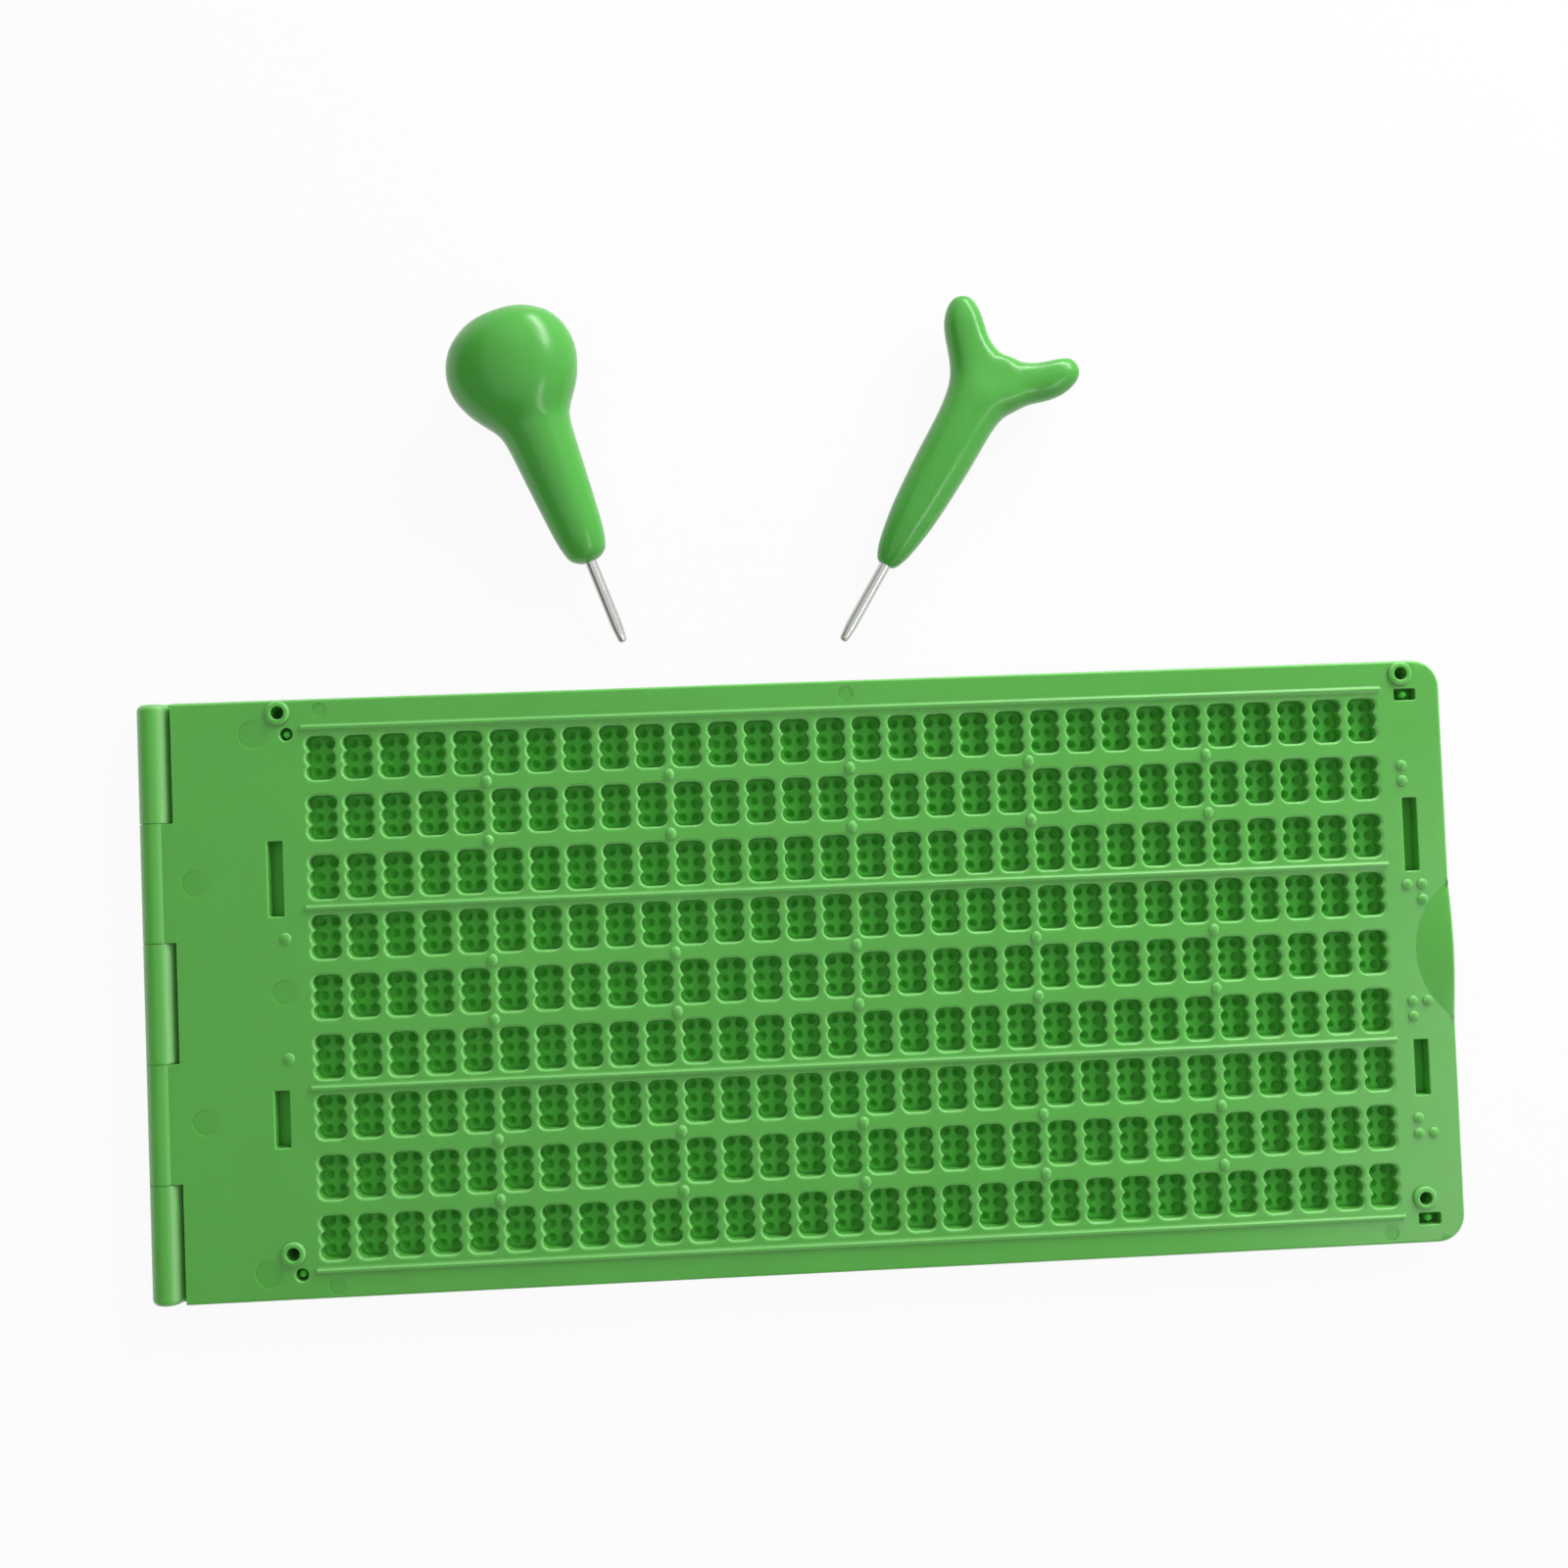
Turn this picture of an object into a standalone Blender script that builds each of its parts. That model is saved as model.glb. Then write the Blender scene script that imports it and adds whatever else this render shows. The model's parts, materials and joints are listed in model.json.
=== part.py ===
"""Braille writing slate with its two styluses.

The slate lies closed on its flat underside. A window plate hinges on a pit plate: a sheet of
paper goes between the two, and a stylus pushes dots into it through the windows. The hinge runs
along the slate's left edge. +X runs from the hinge to the lifting lip, +Y to the first line of
cells and +Z up. The origin is the middle of the underside. All sizes are in metres.
"""

import math

import bmesh
import bpy
from mathutils import Vector

# Braille grid
LINE_COUNT = 9
CELL_COUNT = 30
LINE_PITCH = 0.0100
CELL_PITCH = 0.00613
DOT_PITCH = 0.0024
DOT_COLUMNS = 2
DOT_ROWS = 3

# Plates
HINGE_TO_FIRST_CELL = 0.0280
LAST_CELL_TO_EDGE = 0.0138
HEAD_MARGIN = 0.0050
PIT_PLATE_THICKNESS = 0.0023
PAPER_GAP = 0.0003
WINDOW_PLATE_THICKNESS = 0.00225
CORNER_RADIUS = 0.00475
CORNER_STEPS = 6
EDGE_CHAMFER = 0.0004

# Windows and pits
WINDOW_SIDE_ROOM = 0.00125
WINDOW_END_ROOM = 0.0013
PIT_RADIUS = 0.00085
PIT_DEPTH = 0.0008
PIT_RIDGE_DROP = 0.00015

# Hinge
KNUCKLE_COUNT = 5
KNUCKLE_GAP = 0.0003
BARREL_RADIUS = 0.0027
BARREL_SIDES = 20
BARREL_TO_PLATE = 0.0007
PIN_RADIUS = 0.0010
PIN_SIDES = 16
PIN_CLEARANCE = 0.0001
PIN_END_RECESS = 0.0010

# Bosses and registration pegs
BOSS_TO_CELL = 0.0068
BOSS_TO_EDGE = 0.00225
BOSS_RADIUS = 0.00205
BOSS_HEIGHT = 0.0007
BOSS_BORE_RADIUS = 0.0011
BOSS_BORE_FLOOR = 0.0007
BOSS_SIDES = 14
LEFT_PEG_TO_CELL = 0.0056
RIGHT_PEG_TO_CELL = 0.0076
PEG_TO_EDGE = 0.00585
PEG_RADIUS = 0.00065
PEG_TIP_SHARE = 0.5
PEG_TOP_BELOW_FACE = 0.0005
PEG_SIDES = 8
PEG_HOLE_RADIUS = 0.0011
PEG_SLOT_LENGTH = 0.0038
PEG_SLOT_WIDTH = 0.0020
SMALL_HOLE_SIDES = 10

# Margin slots
SLOT_WIDTH = 0.0025
LEFT_SLOT_TO_CELL = 0.0080
RIGHT_SLOT_TO_CELL = 0.0075
SLOT_CENTRE_Y = 0.0200
UPPER_SLOT_LENGTH = 0.0126
LOWER_SLOT_LENGTH = 0.0095

# Raised guides
RIB_WIDTH = 0.00085
RIB_HEIGHT = 0.0005
RIB_TO_FIRST_CELL = 0.0033
RIB_TO_LAST_CELL = 0.0034
RIB_LINE_SHARES = (-4.52, -1.5, 1.5, 4.52)
RIB_STEPS = 4
BUMP_RADIUS = 0.0008
BUMP_HEIGHT = 0.0004
BUMP_CELL_INTERVAL = 5
BUMP_LINES = (0, 1, 3, 4, 6, 7)
MARGIN_BUMP_RADIUS = 0.0010
MARGIN_BUMP_TO_CELL = 0.00665
MARGIN_BUMP_LINES = (3, 5)
BUMP_SIDES = 6

# Lifting lip
LIP_RADIUS = 0.0141
LIP_REACH = 0.0064
LIP_RISE = 0.0010
LIP_SIDES = 40

# Knob stylus
KNOB_LENGTH = 0.0450
KNOB_NECK_STATION = 0.0247
KNOB_HEAD_WIDTH = 0.0219
KNOB_HEAD_THICKNESS = 0.0160
KNOB_NECK_WIDTH = 0.0122
KNOB_GRIP_WIDTH = 0.0076
KNOB_SIDES = 16
KNOB_GRIP_SHARES = ((0.0, 0.40), (0.03, 0.74), (0.12, 0.98), (0.5, 0.93), (0.8, 0.95))
KNOB_HEAD_SHARES = (
    (0.09, 0.655),
    (0.18, 0.78),
    (0.31, 0.915),
    (0.44, 0.98),
    (0.58, 1.0),
    (0.71, 0.975),
    (0.83, 0.85),
    (0.91, 0.68),
    (0.97, 0.50),
    (1.0, 0.25),
)
KNOB_FLATTENING_SHARE = 0.31
KNOB_BULGE_SHARE = 0.58
KNOB_GRIP_FOOT_SHARE = 0.12
KNOB_X = -0.0342
KNOB_GRIP_TO_SLATE = 0.0217
KNOB_HEADING = math.radians(19.8)

# Fork stylus
FORK_GRIP_WIDTH = 0.0078
FORK_HEAD_WIDTH = 0.0106
FORK_ROOT_STATION = 0.0364
FORK_ARM_STATION = 0.0462
FORK_ARM_SPREAD = 0.0118
FORK_ARM_WIDTH = 0.0056
FORK_GRIP_SHARES = ((0.0, 0.50), (0.06, 0.76), (0.20, 0.97), (0.55, 0.98), (0.82, 1.0))
FORK_ARM_SHARES = ((0.22, 0.42, 1.30), (0.53, 0.70, 1.15), (0.83, 0.89, 1.0), (1.0, 1.0, 0.62))
FORK_X = 0.0158
FORK_GRIP_TO_SLATE = 0.0193
FORK_HEADING = math.radians(-31.4)
SKIN_SWELL_SHARE = 1.12

# Stylus needles
NEEDLE_RADIUS = 0.0010
NEEDLE_TIP_RADIUS = 0.0007
NEEDLE_END_SHARE = 0.5
NEEDLE_REACH = 0.0146
NEEDLE_TAPER = 0.0030
NEEDLE_SHANK = 0.0110
NEEDLE_CLEARANCE = 0.0001
NEEDLE_SIDES = 12

# Overrun of every cut past the face it opens, and of every joint into its partner
OVERRUN = 0.0005

# Finishes, as linear red, green and blue, and the angle past which an edge is drawn sharp
PIT_PLATE_GREEN = (0.12, 0.37, 0.09)
WINDOW_PLATE_GREEN = (0.13, 0.39, 0.10)
KNOB_GREEN = (0.08, 0.40, 0.06)
FORK_GREEN = (0.08, 0.38, 0.06)
STEEL = (0.64, 0.64, 0.62)
PIT_PLATE_ROUGHNESS = 0.45
WINDOW_PLATE_ROUGHNESS = 0.42
HANDLE_ROUGHNESS = 0.22
STEEL_ROUGHNESS = 0.28
CREASE_ANGLE = math.radians(30)

# Derived sizes and places
SLATE_LENGTH = BARREL_RADIUS + HINGE_TO_FIRST_CELL + (CELL_COUNT - 1) * CELL_PITCH + LAST_CELL_TO_EDGE
SLATE_WIDTH = LINE_COUNT * LINE_PITCH + 2 * HEAD_MARGIN
HINGE_X = BARREL_RADIUS - SLATE_LENGTH / 2
HINGE_Z = BARREL_RADIUS
PLATE_LEFT = HINGE_X + BARREL_RADIUS + BARREL_TO_PLATE
PLATE_RIGHT = SLATE_LENGTH / 2
FIRST_CELL_X = HINGE_X + HINGE_TO_FIRST_CELL
LAST_CELL_X = FIRST_CELL_X + (CELL_COUNT - 1) * CELL_PITCH
PIT_FACE_Z = PIT_PLATE_THICKNESS
WINDOW_BOTTOM_Z = PIT_FACE_Z + PAPER_GAP
WINDOW_TOP_Z = WINDOW_BOTTOM_Z + WINDOW_PLATE_THICKNESS
KNUCKLE_PITCH = SLATE_WIDTH / KNUCKLE_COUNT
BOSS_TOP_Y = SLATE_WIDTH / 2 - BOSS_TO_EDGE
PEG_TOP_Y = SLATE_WIDTH / 2 - PEG_TO_EDGE
SHEET_STEP = LINE_COUNT * LINE_PITCH


def cell_x(cell):
    return FIRST_CELL_X + cell * CELL_PITCH


def line_y(line):
    return ((LINE_COUNT - 1) / 2 - line) * LINE_PITCH


def material(name, color, roughness, metallic=0.0):
    made = bpy.data.materials.new(name)
    made.use_nodes = True
    shader = made.node_tree.nodes["Principled BSDF"]
    shader.inputs["Base Color"].default_value = (*color, 1.0)
    shader.inputs["Roughness"].default_value = roughness
    shader.inputs["Metallic"].default_value = metallic
    made.diffuse_color = (*color, 1.0)
    return made


def object_from(name, build_mesh):
    """A new object whose closed mesh is made by the bmesh function build_mesh."""
    bm = build_mesh()
    bmesh.ops.recalc_face_normals(bm, faces=bm.faces)
    mesh = bpy.data.meshes.new(name)
    bm.to_mesh(mesh)
    bm.free()
    made = bpy.data.objects.new(name, mesh)
    bpy.context.scene.collection.objects.link(made)
    return made


def loft(bm, rings):
    """Closed skin over rings of points in the same order, flat at its ends or closed to a peak."""
    loops = [[bm.verts.new(point) for point in ring] for ring in rings]
    count = len(loops[0])
    for lower, upper in zip(loops, loops[1:]):
        for i in range(count):
            j = (i + 1) % count
            far_side = (upper[j], upper[i]) if len(upper) > 1 else (upper[0],)
            bm.faces.new((lower[i], lower[j], *far_side))
    bm.faces.new(loops[0][::-1])
    if len(loops[-1]) > 1:
        bm.faces.new(loops[-1])


def merged(parts):
    """One bmesh that holds each of the lofts, given as lists of rings."""
    bm = bmesh.new()
    for rings in parts:
        loft(bm, rings)
    return bm


def prism(outline, low, high):
    """Rings of an upright block over a plan outline."""
    return [[(x, y, z) for x, y in outline] for z in (low, high)]


def circle(x, y, radius, sides):
    turn = 2 * math.pi / sides
    return [(x + radius * math.cos(i * turn), y + radius * math.sin(i * turn)) for i in range(sides)]


def rectangle(x, y, width, length):
    left = x - width / 2
    right = x + width / 2
    near = y - length / 2
    far = y + length / 2
    return [(left, near), (right, near), (right, far), (left, far)]


def combine(target, operation, name, build_mesh):
    """Cuts the made mesh out of the target, or joins it on, and keeps only the result."""
    tool = object_from(name, build_mesh)
    modifier = target.modifiers.new(name, "BOOLEAN")
    modifier.operation = operation
    modifier.object = tool
    modifier.solver = "EXACT"
    bpy.context.view_layer.update()
    result = bpy.data.meshes.new_from_object(target.evaluated_get(bpy.context.evaluated_depsgraph_get()))
    target.modifiers.remove(modifier)
    target.data = result
    bpy.data.objects.remove(tool)


def plate_outline():
    """Plan of both plates: square corners by the hinge, round ones at the far edge."""
    half = SLATE_WIDTH / 2
    points = [(PLATE_LEFT, half), (PLATE_LEFT, -half)]
    for centre_y, start in ((CORNER_RADIUS - half, -math.pi / 2), (half - CORNER_RADIUS, 0)):
        for i in range(CORNER_STEPS + 1):
            angle = start + i * math.pi / 2 / CORNER_STEPS
            points.append(
                (
                    PLATE_RIGHT - CORNER_RADIUS + CORNER_RADIUS * math.cos(angle),
                    centre_y + CORNER_RADIUS * math.sin(angle),
                )
            )
    return points


def plate_mesh(low, high):
    """A plate with chamfered edges, except along the hinge."""
    bm = merged([prism(plate_outline(), low, high)])
    rims = []
    for edge in bm.edges:
        first, second = (vert.co for vert in edge.verts)
        level = first.z == second.z
        by_hinge = max(first.x, second.x) < PLATE_LEFT + OVERRUN
        if level and not by_hinge:
            rims.append(edge)
    bmesh.ops.bevel(bm, geom=rims, offset=EDGE_CHAMFER, segments=1, affect="EDGES")
    return bm


def knuckle_span(index):
    """Far and near ends of one knuckle, counted from the first line's end of the hinge."""
    top = SLATE_WIDTH / 2 - index * KNUCKLE_PITCH
    bottom = top - KNUCKLE_PITCH
    gap = KNUCKLE_GAP / 2
    return (
        top if index == 0 else top - gap,
        bottom if index == KNUCKLE_COUNT - 1 else bottom + gap,
    )


def knuckle_profile(web_low, web_high):
    """Barrel circle with a flat web that runs right into the plate between two heights."""
    low = web_low - HINGE_Z
    high = web_high - HINGE_Z
    start = math.asin(min(1.0, high / BARREL_RADIUS))
    end = math.asin(max(-1.0, low / BARREL_RADIUS)) + 2 * math.pi
    join = PLATE_LEFT + OVERRUN
    points = []
    for i in range(BARREL_SIDES + 1):
        angle = start + (end - start) * i / BARREL_SIDES
        x = HINGE_X + BARREL_RADIUS * math.cos(angle)
        z = HINGE_Z + BARREL_RADIUS * math.sin(angle)
        points.append((x, z))
    return points + [(join, web_low), (join, web_high)]


def knuckles_mesh(indexes, web_low, web_high):
    profile = knuckle_profile(web_low, web_high)
    parts = []
    for index in indexes:
        parts.append([[(x, y, z) for x, z in profile] for y in knuckle_span(index)])
    return merged(parts)


def along_hinge(radius, sides, near, far):
    """Rings of a round bar on the hinge's axis, turned half a side to sit like the barrel."""
    turn = 2 * math.pi / sides
    ring = [
        (HINGE_X + radius * math.cos((i + 0.5) * turn), HINGE_Z + radius * math.sin((i + 0.5) * turn))
        for i in range(sides)
    ]
    return [[(x, y, z) for x, z in ring] for y in (near, far)]


def pin_bore_mesh():
    reach = SLATE_WIDTH / 2 + OVERRUN
    return merged([along_hinge(PIN_RADIUS + PIN_CLEARANCE, PIN_SIDES, -reach, reach)])


def window_outline(cell, line):
    width = (DOT_COLUMNS - 1) * DOT_PITCH + 2 * WINDOW_SIDE_ROOM
    length = (DOT_ROWS - 1) * DOT_PITCH + 2 * WINDOW_END_ROOM
    return rectangle(cell_x(cell), line_y(line), width, length)


def windows_mesh():
    low = WINDOW_BOTTOM_Z - OVERRUN
    high = WINDOW_TOP_Z + OVERRUN
    return merged(
        [
            prism(window_outline(cell, line), low, high)
            for line in range(LINE_COUNT)
            for cell in range(CELL_COUNT)
        ]
    )


def boss_places():
    """The four bosses: one sheet step of nine lines lies between the upper and the lower pair."""
    return [
        (x, y)
        for x in (FIRST_CELL_X - BOSS_TO_CELL, LAST_CELL_X + BOSS_TO_CELL)
        for y in (BOSS_TOP_Y, BOSS_TOP_Y - SHEET_STEP)
    ]


def left_peg_places():
    return [(FIRST_CELL_X - LEFT_PEG_TO_CELL, y) for y in (PEG_TOP_Y, PEG_TOP_Y - SHEET_STEP)]


def right_peg_places():
    return [(LAST_CELL_X + RIGHT_PEG_TO_CELL, y) for y in (PEG_TOP_Y, PEG_TOP_Y - SHEET_STEP)]


def openings_mesh():
    """Boss bores, peg holes, peg slots and margin slots, all through the window plate."""
    outlines = [circle(x, y, BOSS_BORE_RADIUS, SMALL_HOLE_SIDES) for x, y in boss_places()]
    outlines += [circle(x, y, PEG_HOLE_RADIUS, SMALL_HOLE_SIDES) for x, y in left_peg_places()]
    outlines += [rectangle(x, y, PEG_SLOT_LENGTH, PEG_SLOT_WIDTH) for x, y in right_peg_places()]
    for x in (FIRST_CELL_X - LEFT_SLOT_TO_CELL, LAST_CELL_X + RIGHT_SLOT_TO_CELL):
        outlines.append(rectangle(x, SLOT_CENTRE_Y, SLOT_WIDTH, UPPER_SLOT_LENGTH))
        outlines.append(rectangle(x, -SLOT_CENTRE_Y, SLOT_WIDTH, LOWER_SLOT_LENGTH))
    low = WINDOW_BOTTOM_Z - OVERRUN
    high = WINDOW_TOP_Z + BOSS_HEIGHT + OVERRUN
    return merged([prism(outline, low, high) for outline in outlines])


def bump(x, y, radius):
    """A low raised dot that stands on the plate's face."""
    foot = circle(x, y, radius, BUMP_SIDES)
    return prism(foot, WINDOW_TOP_Z - OVERRUN, WINDOW_TOP_Z) + [[(x, y, WINDOW_TOP_Z + BUMP_HEIGHT)]]


def rib(y):
    """A half round bar from before the first cell to past the last."""
    ring = [(y - RIB_WIDTH / 2, WINDOW_TOP_Z - OVERRUN), (y + RIB_WIDTH / 2, WINDOW_TOP_Z - OVERRUN)]
    for i in range(RIB_STEPS + 1):
        angle = math.pi * i / RIB_STEPS
        ring.append((y + RIB_WIDTH / 2 * math.cos(angle), WINDOW_TOP_Z + RIB_HEIGHT * math.sin(angle)))
    ends = (FIRST_CELL_X - RIB_TO_FIRST_CELL, LAST_CELL_X + RIB_TO_LAST_CELL)
    return [[(x, v, z) for v, z in ring] for x in ends]


def raised_mesh():
    """Everything that stands on the window plate's face, each a body of its own."""
    parts = [rib(share * LINE_PITCH) for share in RIB_LINE_SHARES]
    for line in BUMP_LINES:
        for cell in range(BUMP_CELL_INTERVAL, CELL_COUNT, BUMP_CELL_INTERVAL):
            x = cell_x(cell) - CELL_PITCH / 2
            y = line_y(line) - LINE_PITCH / 2
            parts.append(bump(x, y, BUMP_RADIUS))
    for line in MARGIN_BUMP_LINES:
        parts.append(bump(FIRST_CELL_X - MARGIN_BUMP_TO_CELL, line_y(line), MARGIN_BUMP_RADIUS))
    for x, y in boss_places():
        ring = circle(x, y, BOSS_RADIUS, BOSS_SIDES)
        parts.append(prism(ring, WINDOW_TOP_Z - OVERRUN, WINDOW_TOP_Z + BOSS_HEIGHT))
    return merged(parts)


def lip_cone(base_z):
    """Low cone whose base circle reaches in from the far edge, with a stub below its base."""
    slope = LIP_RISE / LIP_REACH
    centre_x = PLATE_RIGHT - LIP_REACH + LIP_RADIUS
    top_radius = LIP_RADIUS - LIP_REACH - OVERRUN
    levels = (
        (base_z - OVERRUN, LIP_RADIUS),
        (base_z, LIP_RADIUS),
        (base_z + slope * (LIP_RADIUS - top_radius), top_radius),
    )
    return [[(x, y, z) for x, y in circle(centre_x, 0, radius, LIP_SIDES)] for z, radius in levels]


def lip_mesh():
    """The cone over the plate alone, cut off at the plate's far edge."""
    bm = merged([lip_cone(WINDOW_TOP_Z)])
    everything = bm.verts[:] + bm.edges[:] + bm.faces[:]
    cut = bmesh.ops.bisect_plane(
        bm, geom=everything, plane_co=(PLATE_RIGHT, 0, 0), plane_no=(1, 0, 0), clear_outer=True
    )
    rim = [item for item in cut["geom_cut"] if isinstance(item, bmesh.types.BMEdge)]
    bmesh.ops.contextual_create(bm, geom=rim)
    return bm


def lip_hollow_mesh():
    return merged([lip_cone(WINDOW_BOTTOM_Z)])


def window_plate():
    """Upper plate: windows, guides, bosses, lifting lip and the even knuckles."""
    made = object_from("window_plate", lambda: plate_mesh(WINDOW_BOTTOM_Z, WINDOW_TOP_Z))
    knuckles = range(1, KNUCKLE_COUNT, 2)
    web = (WINDOW_BOTTOM_Z, WINDOW_TOP_Z)
    combine(made, "UNION", "window_knuckles", lambda: knuckles_mesh(knuckles, *web))
    combine(made, "UNION", "window_lip", lip_mesh)
    combine(made, "DIFFERENCE", "window_lip_hollow", lip_hollow_mesh)
    combine(made, "UNION", "window_raised", raised_mesh)
    combine(made, "DIFFERENCE", "window_pin_bore", pin_bore_mesh)
    combine(made, "DIFFERENCE", "window_openings", openings_mesh)
    combine(made, "DIFFERENCE", "window_grid", windows_mesh)
    return made


def pit_block(bm, x, y):
    """Cutter for one cell: a grid of pyramid pits whose shared ridges lie just under the face."""
    slope = PIT_DEPTH / PIT_RADIUS
    flare = OVERRUN / slope
    rim_inset = (PIT_DEPTH - PIT_RIDGE_DROP) / slope
    columns = [x + (i - (DOT_COLUMNS - 1) / 2) * DOT_PITCH for i in range(DOT_COLUMNS)]
    rows = [y + (j - (DOT_ROWS - 1) / 2) * DOT_PITCH for j in range(DOT_ROWS)]

    def ridge_lines(places):
        between = [(a + b) / 2 for a, b in zip(places, places[1:])]
        return [places[0] - rim_inset] + between + [places[-1] + rim_inset]

    ridge_x = ridge_lines(columns)
    ridge_y = ridge_lines(rows)
    corner_x = (columns[0] - PIT_RADIUS - flare, columns[-1] + PIT_RADIUS + flare)
    corner_y = (rows[0] - PIT_RADIUS - flare, rows[-1] + PIT_RADIUS + flare)
    nodes = {}
    for i, u in enumerate(ridge_x):
        for j, v in enumerate(ridge_y):
            at_corner = i in (0, DOT_COLUMNS) and j in (0, DOT_ROWS)
            if at_corner:
                place = (corner_x[i > 0], corner_y[j > 0], PIT_FACE_Z + OVERRUN)
            else:
                place = (u, v, PIT_FACE_Z - PIT_RIDGE_DROP)
            nodes[i, j] = bm.verts.new(place)
    for i, u in enumerate(columns):
        for j, v in enumerate(rows):
            point = bm.verts.new((u, v, PIT_FACE_Z - PIT_DEPTH))
            around = [nodes[i, j], nodes[i + 1, j], nodes[i + 1, j + 1], nodes[i, j + 1]]
            for first, second in zip(around, around[1:] + around[:1]):
                bm.faces.new((point, first, second))
    sides = (
        [nodes[0, j] for j in range(DOT_ROWS + 1)],
        [nodes[i, DOT_ROWS] for i in range(DOT_COLUMNS + 1)],
        [nodes[DOT_COLUMNS, j] for j in range(DOT_ROWS, -1, -1)],
        [nodes[i, 0] for i in range(DOT_COLUMNS, -1, -1)],
    )
    for side in sides:
        bm.faces.new(side)
    bm.faces.new([side[0] for side in sides])


def pits_mesh():
    bm = bmesh.new()
    for line in range(LINE_COUNT):
        for cell in range(CELL_COUNT):
            pit_block(bm, cell_x(cell), line_y(line))
    return bm


def peg(x, y):
    """A moulded peg with a rounded tip that stays below the window plate's face."""
    top = WINDOW_TOP_Z - PEG_TOP_BELOW_FACE
    tip_radius = PEG_RADIUS * PEG_TIP_SHARE
    levels = (
        (PIT_FACE_Z - OVERRUN, PEG_RADIUS),
        (top - (PEG_RADIUS - tip_radius), PEG_RADIUS),
        (top, tip_radius),
    )
    return [[(u, v, z) for u, v in circle(x, y, radius, PEG_SIDES)] for z, radius in levels]


def boss_wells_mesh():
    """Blind wells of the pit plate under the four bosses."""
    return merged(
        [
            prism(circle(x, y, BOSS_BORE_RADIUS, SMALL_HOLE_SIDES), BOSS_BORE_FLOOR, PIT_FACE_Z + OVERRUN)
            for x, y in boss_places()
        ]
    )


def pit_plate():
    """Lower plate: pits, registration pegs, wells and the odd knuckles."""
    made = object_from("pit_plate", lambda: plate_mesh(0, PIT_FACE_Z))
    knuckles = range(0, KNUCKLE_COUNT, 2)
    pegs = left_peg_places() + right_peg_places()
    combine(made, "UNION", "pit_knuckles", lambda: knuckles_mesh(knuckles, 0, PIT_FACE_Z))
    combine(made, "UNION", "pit_pegs", lambda: merged([peg(x, y) for x, y in pegs]))
    combine(made, "DIFFERENCE", "pit_pin_bore", pin_bore_mesh)
    combine(made, "DIFFERENCE", "pit_wells", boss_wells_mesh)
    combine(made, "DIFFERENCE", "pit_grid", pits_mesh)
    return made


def hinge_pin():
    reach = SLATE_WIDTH / 2 - PIN_END_RECESS
    return object_from("hinge_pin", lambda: merged([along_hinge(PIN_RADIUS, PIN_SIDES, -reach, reach)]))


def oval(station, half_width, half_depth, sides):
    """Ring of points round a stylus's own axis, which runs along +Y from the needle to the top."""
    angles = [2 * math.pi * i / sides for i in range(sides)]
    return [(half_width * math.cos(a), station, half_depth * math.sin(a)) for a in angles]


def needle(name):
    """Steel needle: a shank inside the handle and a tapered point outside."""
    tip = -NEEDLE_REACH
    stations = (
        (NEEDLE_SHANK, NEEDLE_RADIUS),
        (tip + NEEDLE_TAPER, NEEDLE_RADIUS),
        (tip + NEEDLE_TIP_RADIUS, NEEDLE_TIP_RADIUS),
        (tip, NEEDLE_TIP_RADIUS * NEEDLE_END_SHARE),
    )
    return object_from(name, lambda: merged([[oval(s, r, r, NEEDLE_SIDES) for s, r in stations]]))


def cut_needle_bore(handle):
    radius = NEEDLE_RADIUS + NEEDLE_CLEARANCE
    stations = (NEEDLE_SHANK + NEEDLE_CLEARANCE, -OVERRUN)
    bore = [oval(station, radius, radius, NEEDLE_SIDES) for station in stations]
    combine(handle, "DIFFERENCE", handle.name + "_bore", lambda: merged([bore]))


def knob_rings():
    """Round grip that swells into a head, which is less thick than it is wide."""
    rings = []
    for station_share, share in KNOB_GRIP_SHARES:
        radius = (KNOB_GRIP_WIDTH + (KNOB_NECK_WIDTH - KNOB_GRIP_WIDTH) * station_share) / 2 * share
        rings.append(oval(station_share * KNOB_NECK_STATION, radius, radius, KNOB_SIDES))
    neck = KNOB_NECK_WIDTH / 2
    rings.append(oval(KNOB_NECK_STATION, neck, neck, KNOB_SIDES))
    flatness = KNOB_HEAD_THICKNESS / KNOB_HEAD_WIDTH
    for station_share, share in KNOB_HEAD_SHARES:
        station = KNOB_NECK_STATION + (KNOB_LENGTH - KNOB_NECK_STATION) * station_share
        blend = min(1.0, station_share / KNOB_FLATTENING_SHARE)
        radius = KNOB_HEAD_WIDTH / 2 * share
        rings.append(oval(station, radius, radius * (1 + (flatness - 1) * blend), KNOB_SIDES))
    return rings


def fork_skeleton():
    """Centre line of the fork handle as (across, along, radius, link): a grip and two arms."""
    joints = []
    for station_share, share in FORK_GRIP_SHARES:
        radius = (FORK_GRIP_WIDTH + (FORK_HEAD_WIDTH - FORK_GRIP_WIDTH) * station_share) / 2 * share
        joints.append((0.0, station_share * FORK_ROOT_STATION, radius, len(joints) - 1))
    root = len(joints)
    joints.append((0.0, FORK_ROOT_STATION, FORK_HEAD_WIDTH / 2, root - 1))
    for side in (-1, 1):
        link = root
        for along_share, across_share, width_share in FORK_ARM_SHARES:
            across = side * FORK_ARM_SPREAD * across_share
            along = FORK_ROOT_STATION + (FORK_ARM_STATION - FORK_ROOT_STATION) * along_share
            joints.append((across, along, FORK_ARM_WIDTH / 2 * width_share, link))
            link = len(joints) - 1
    return joints, root


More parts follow.
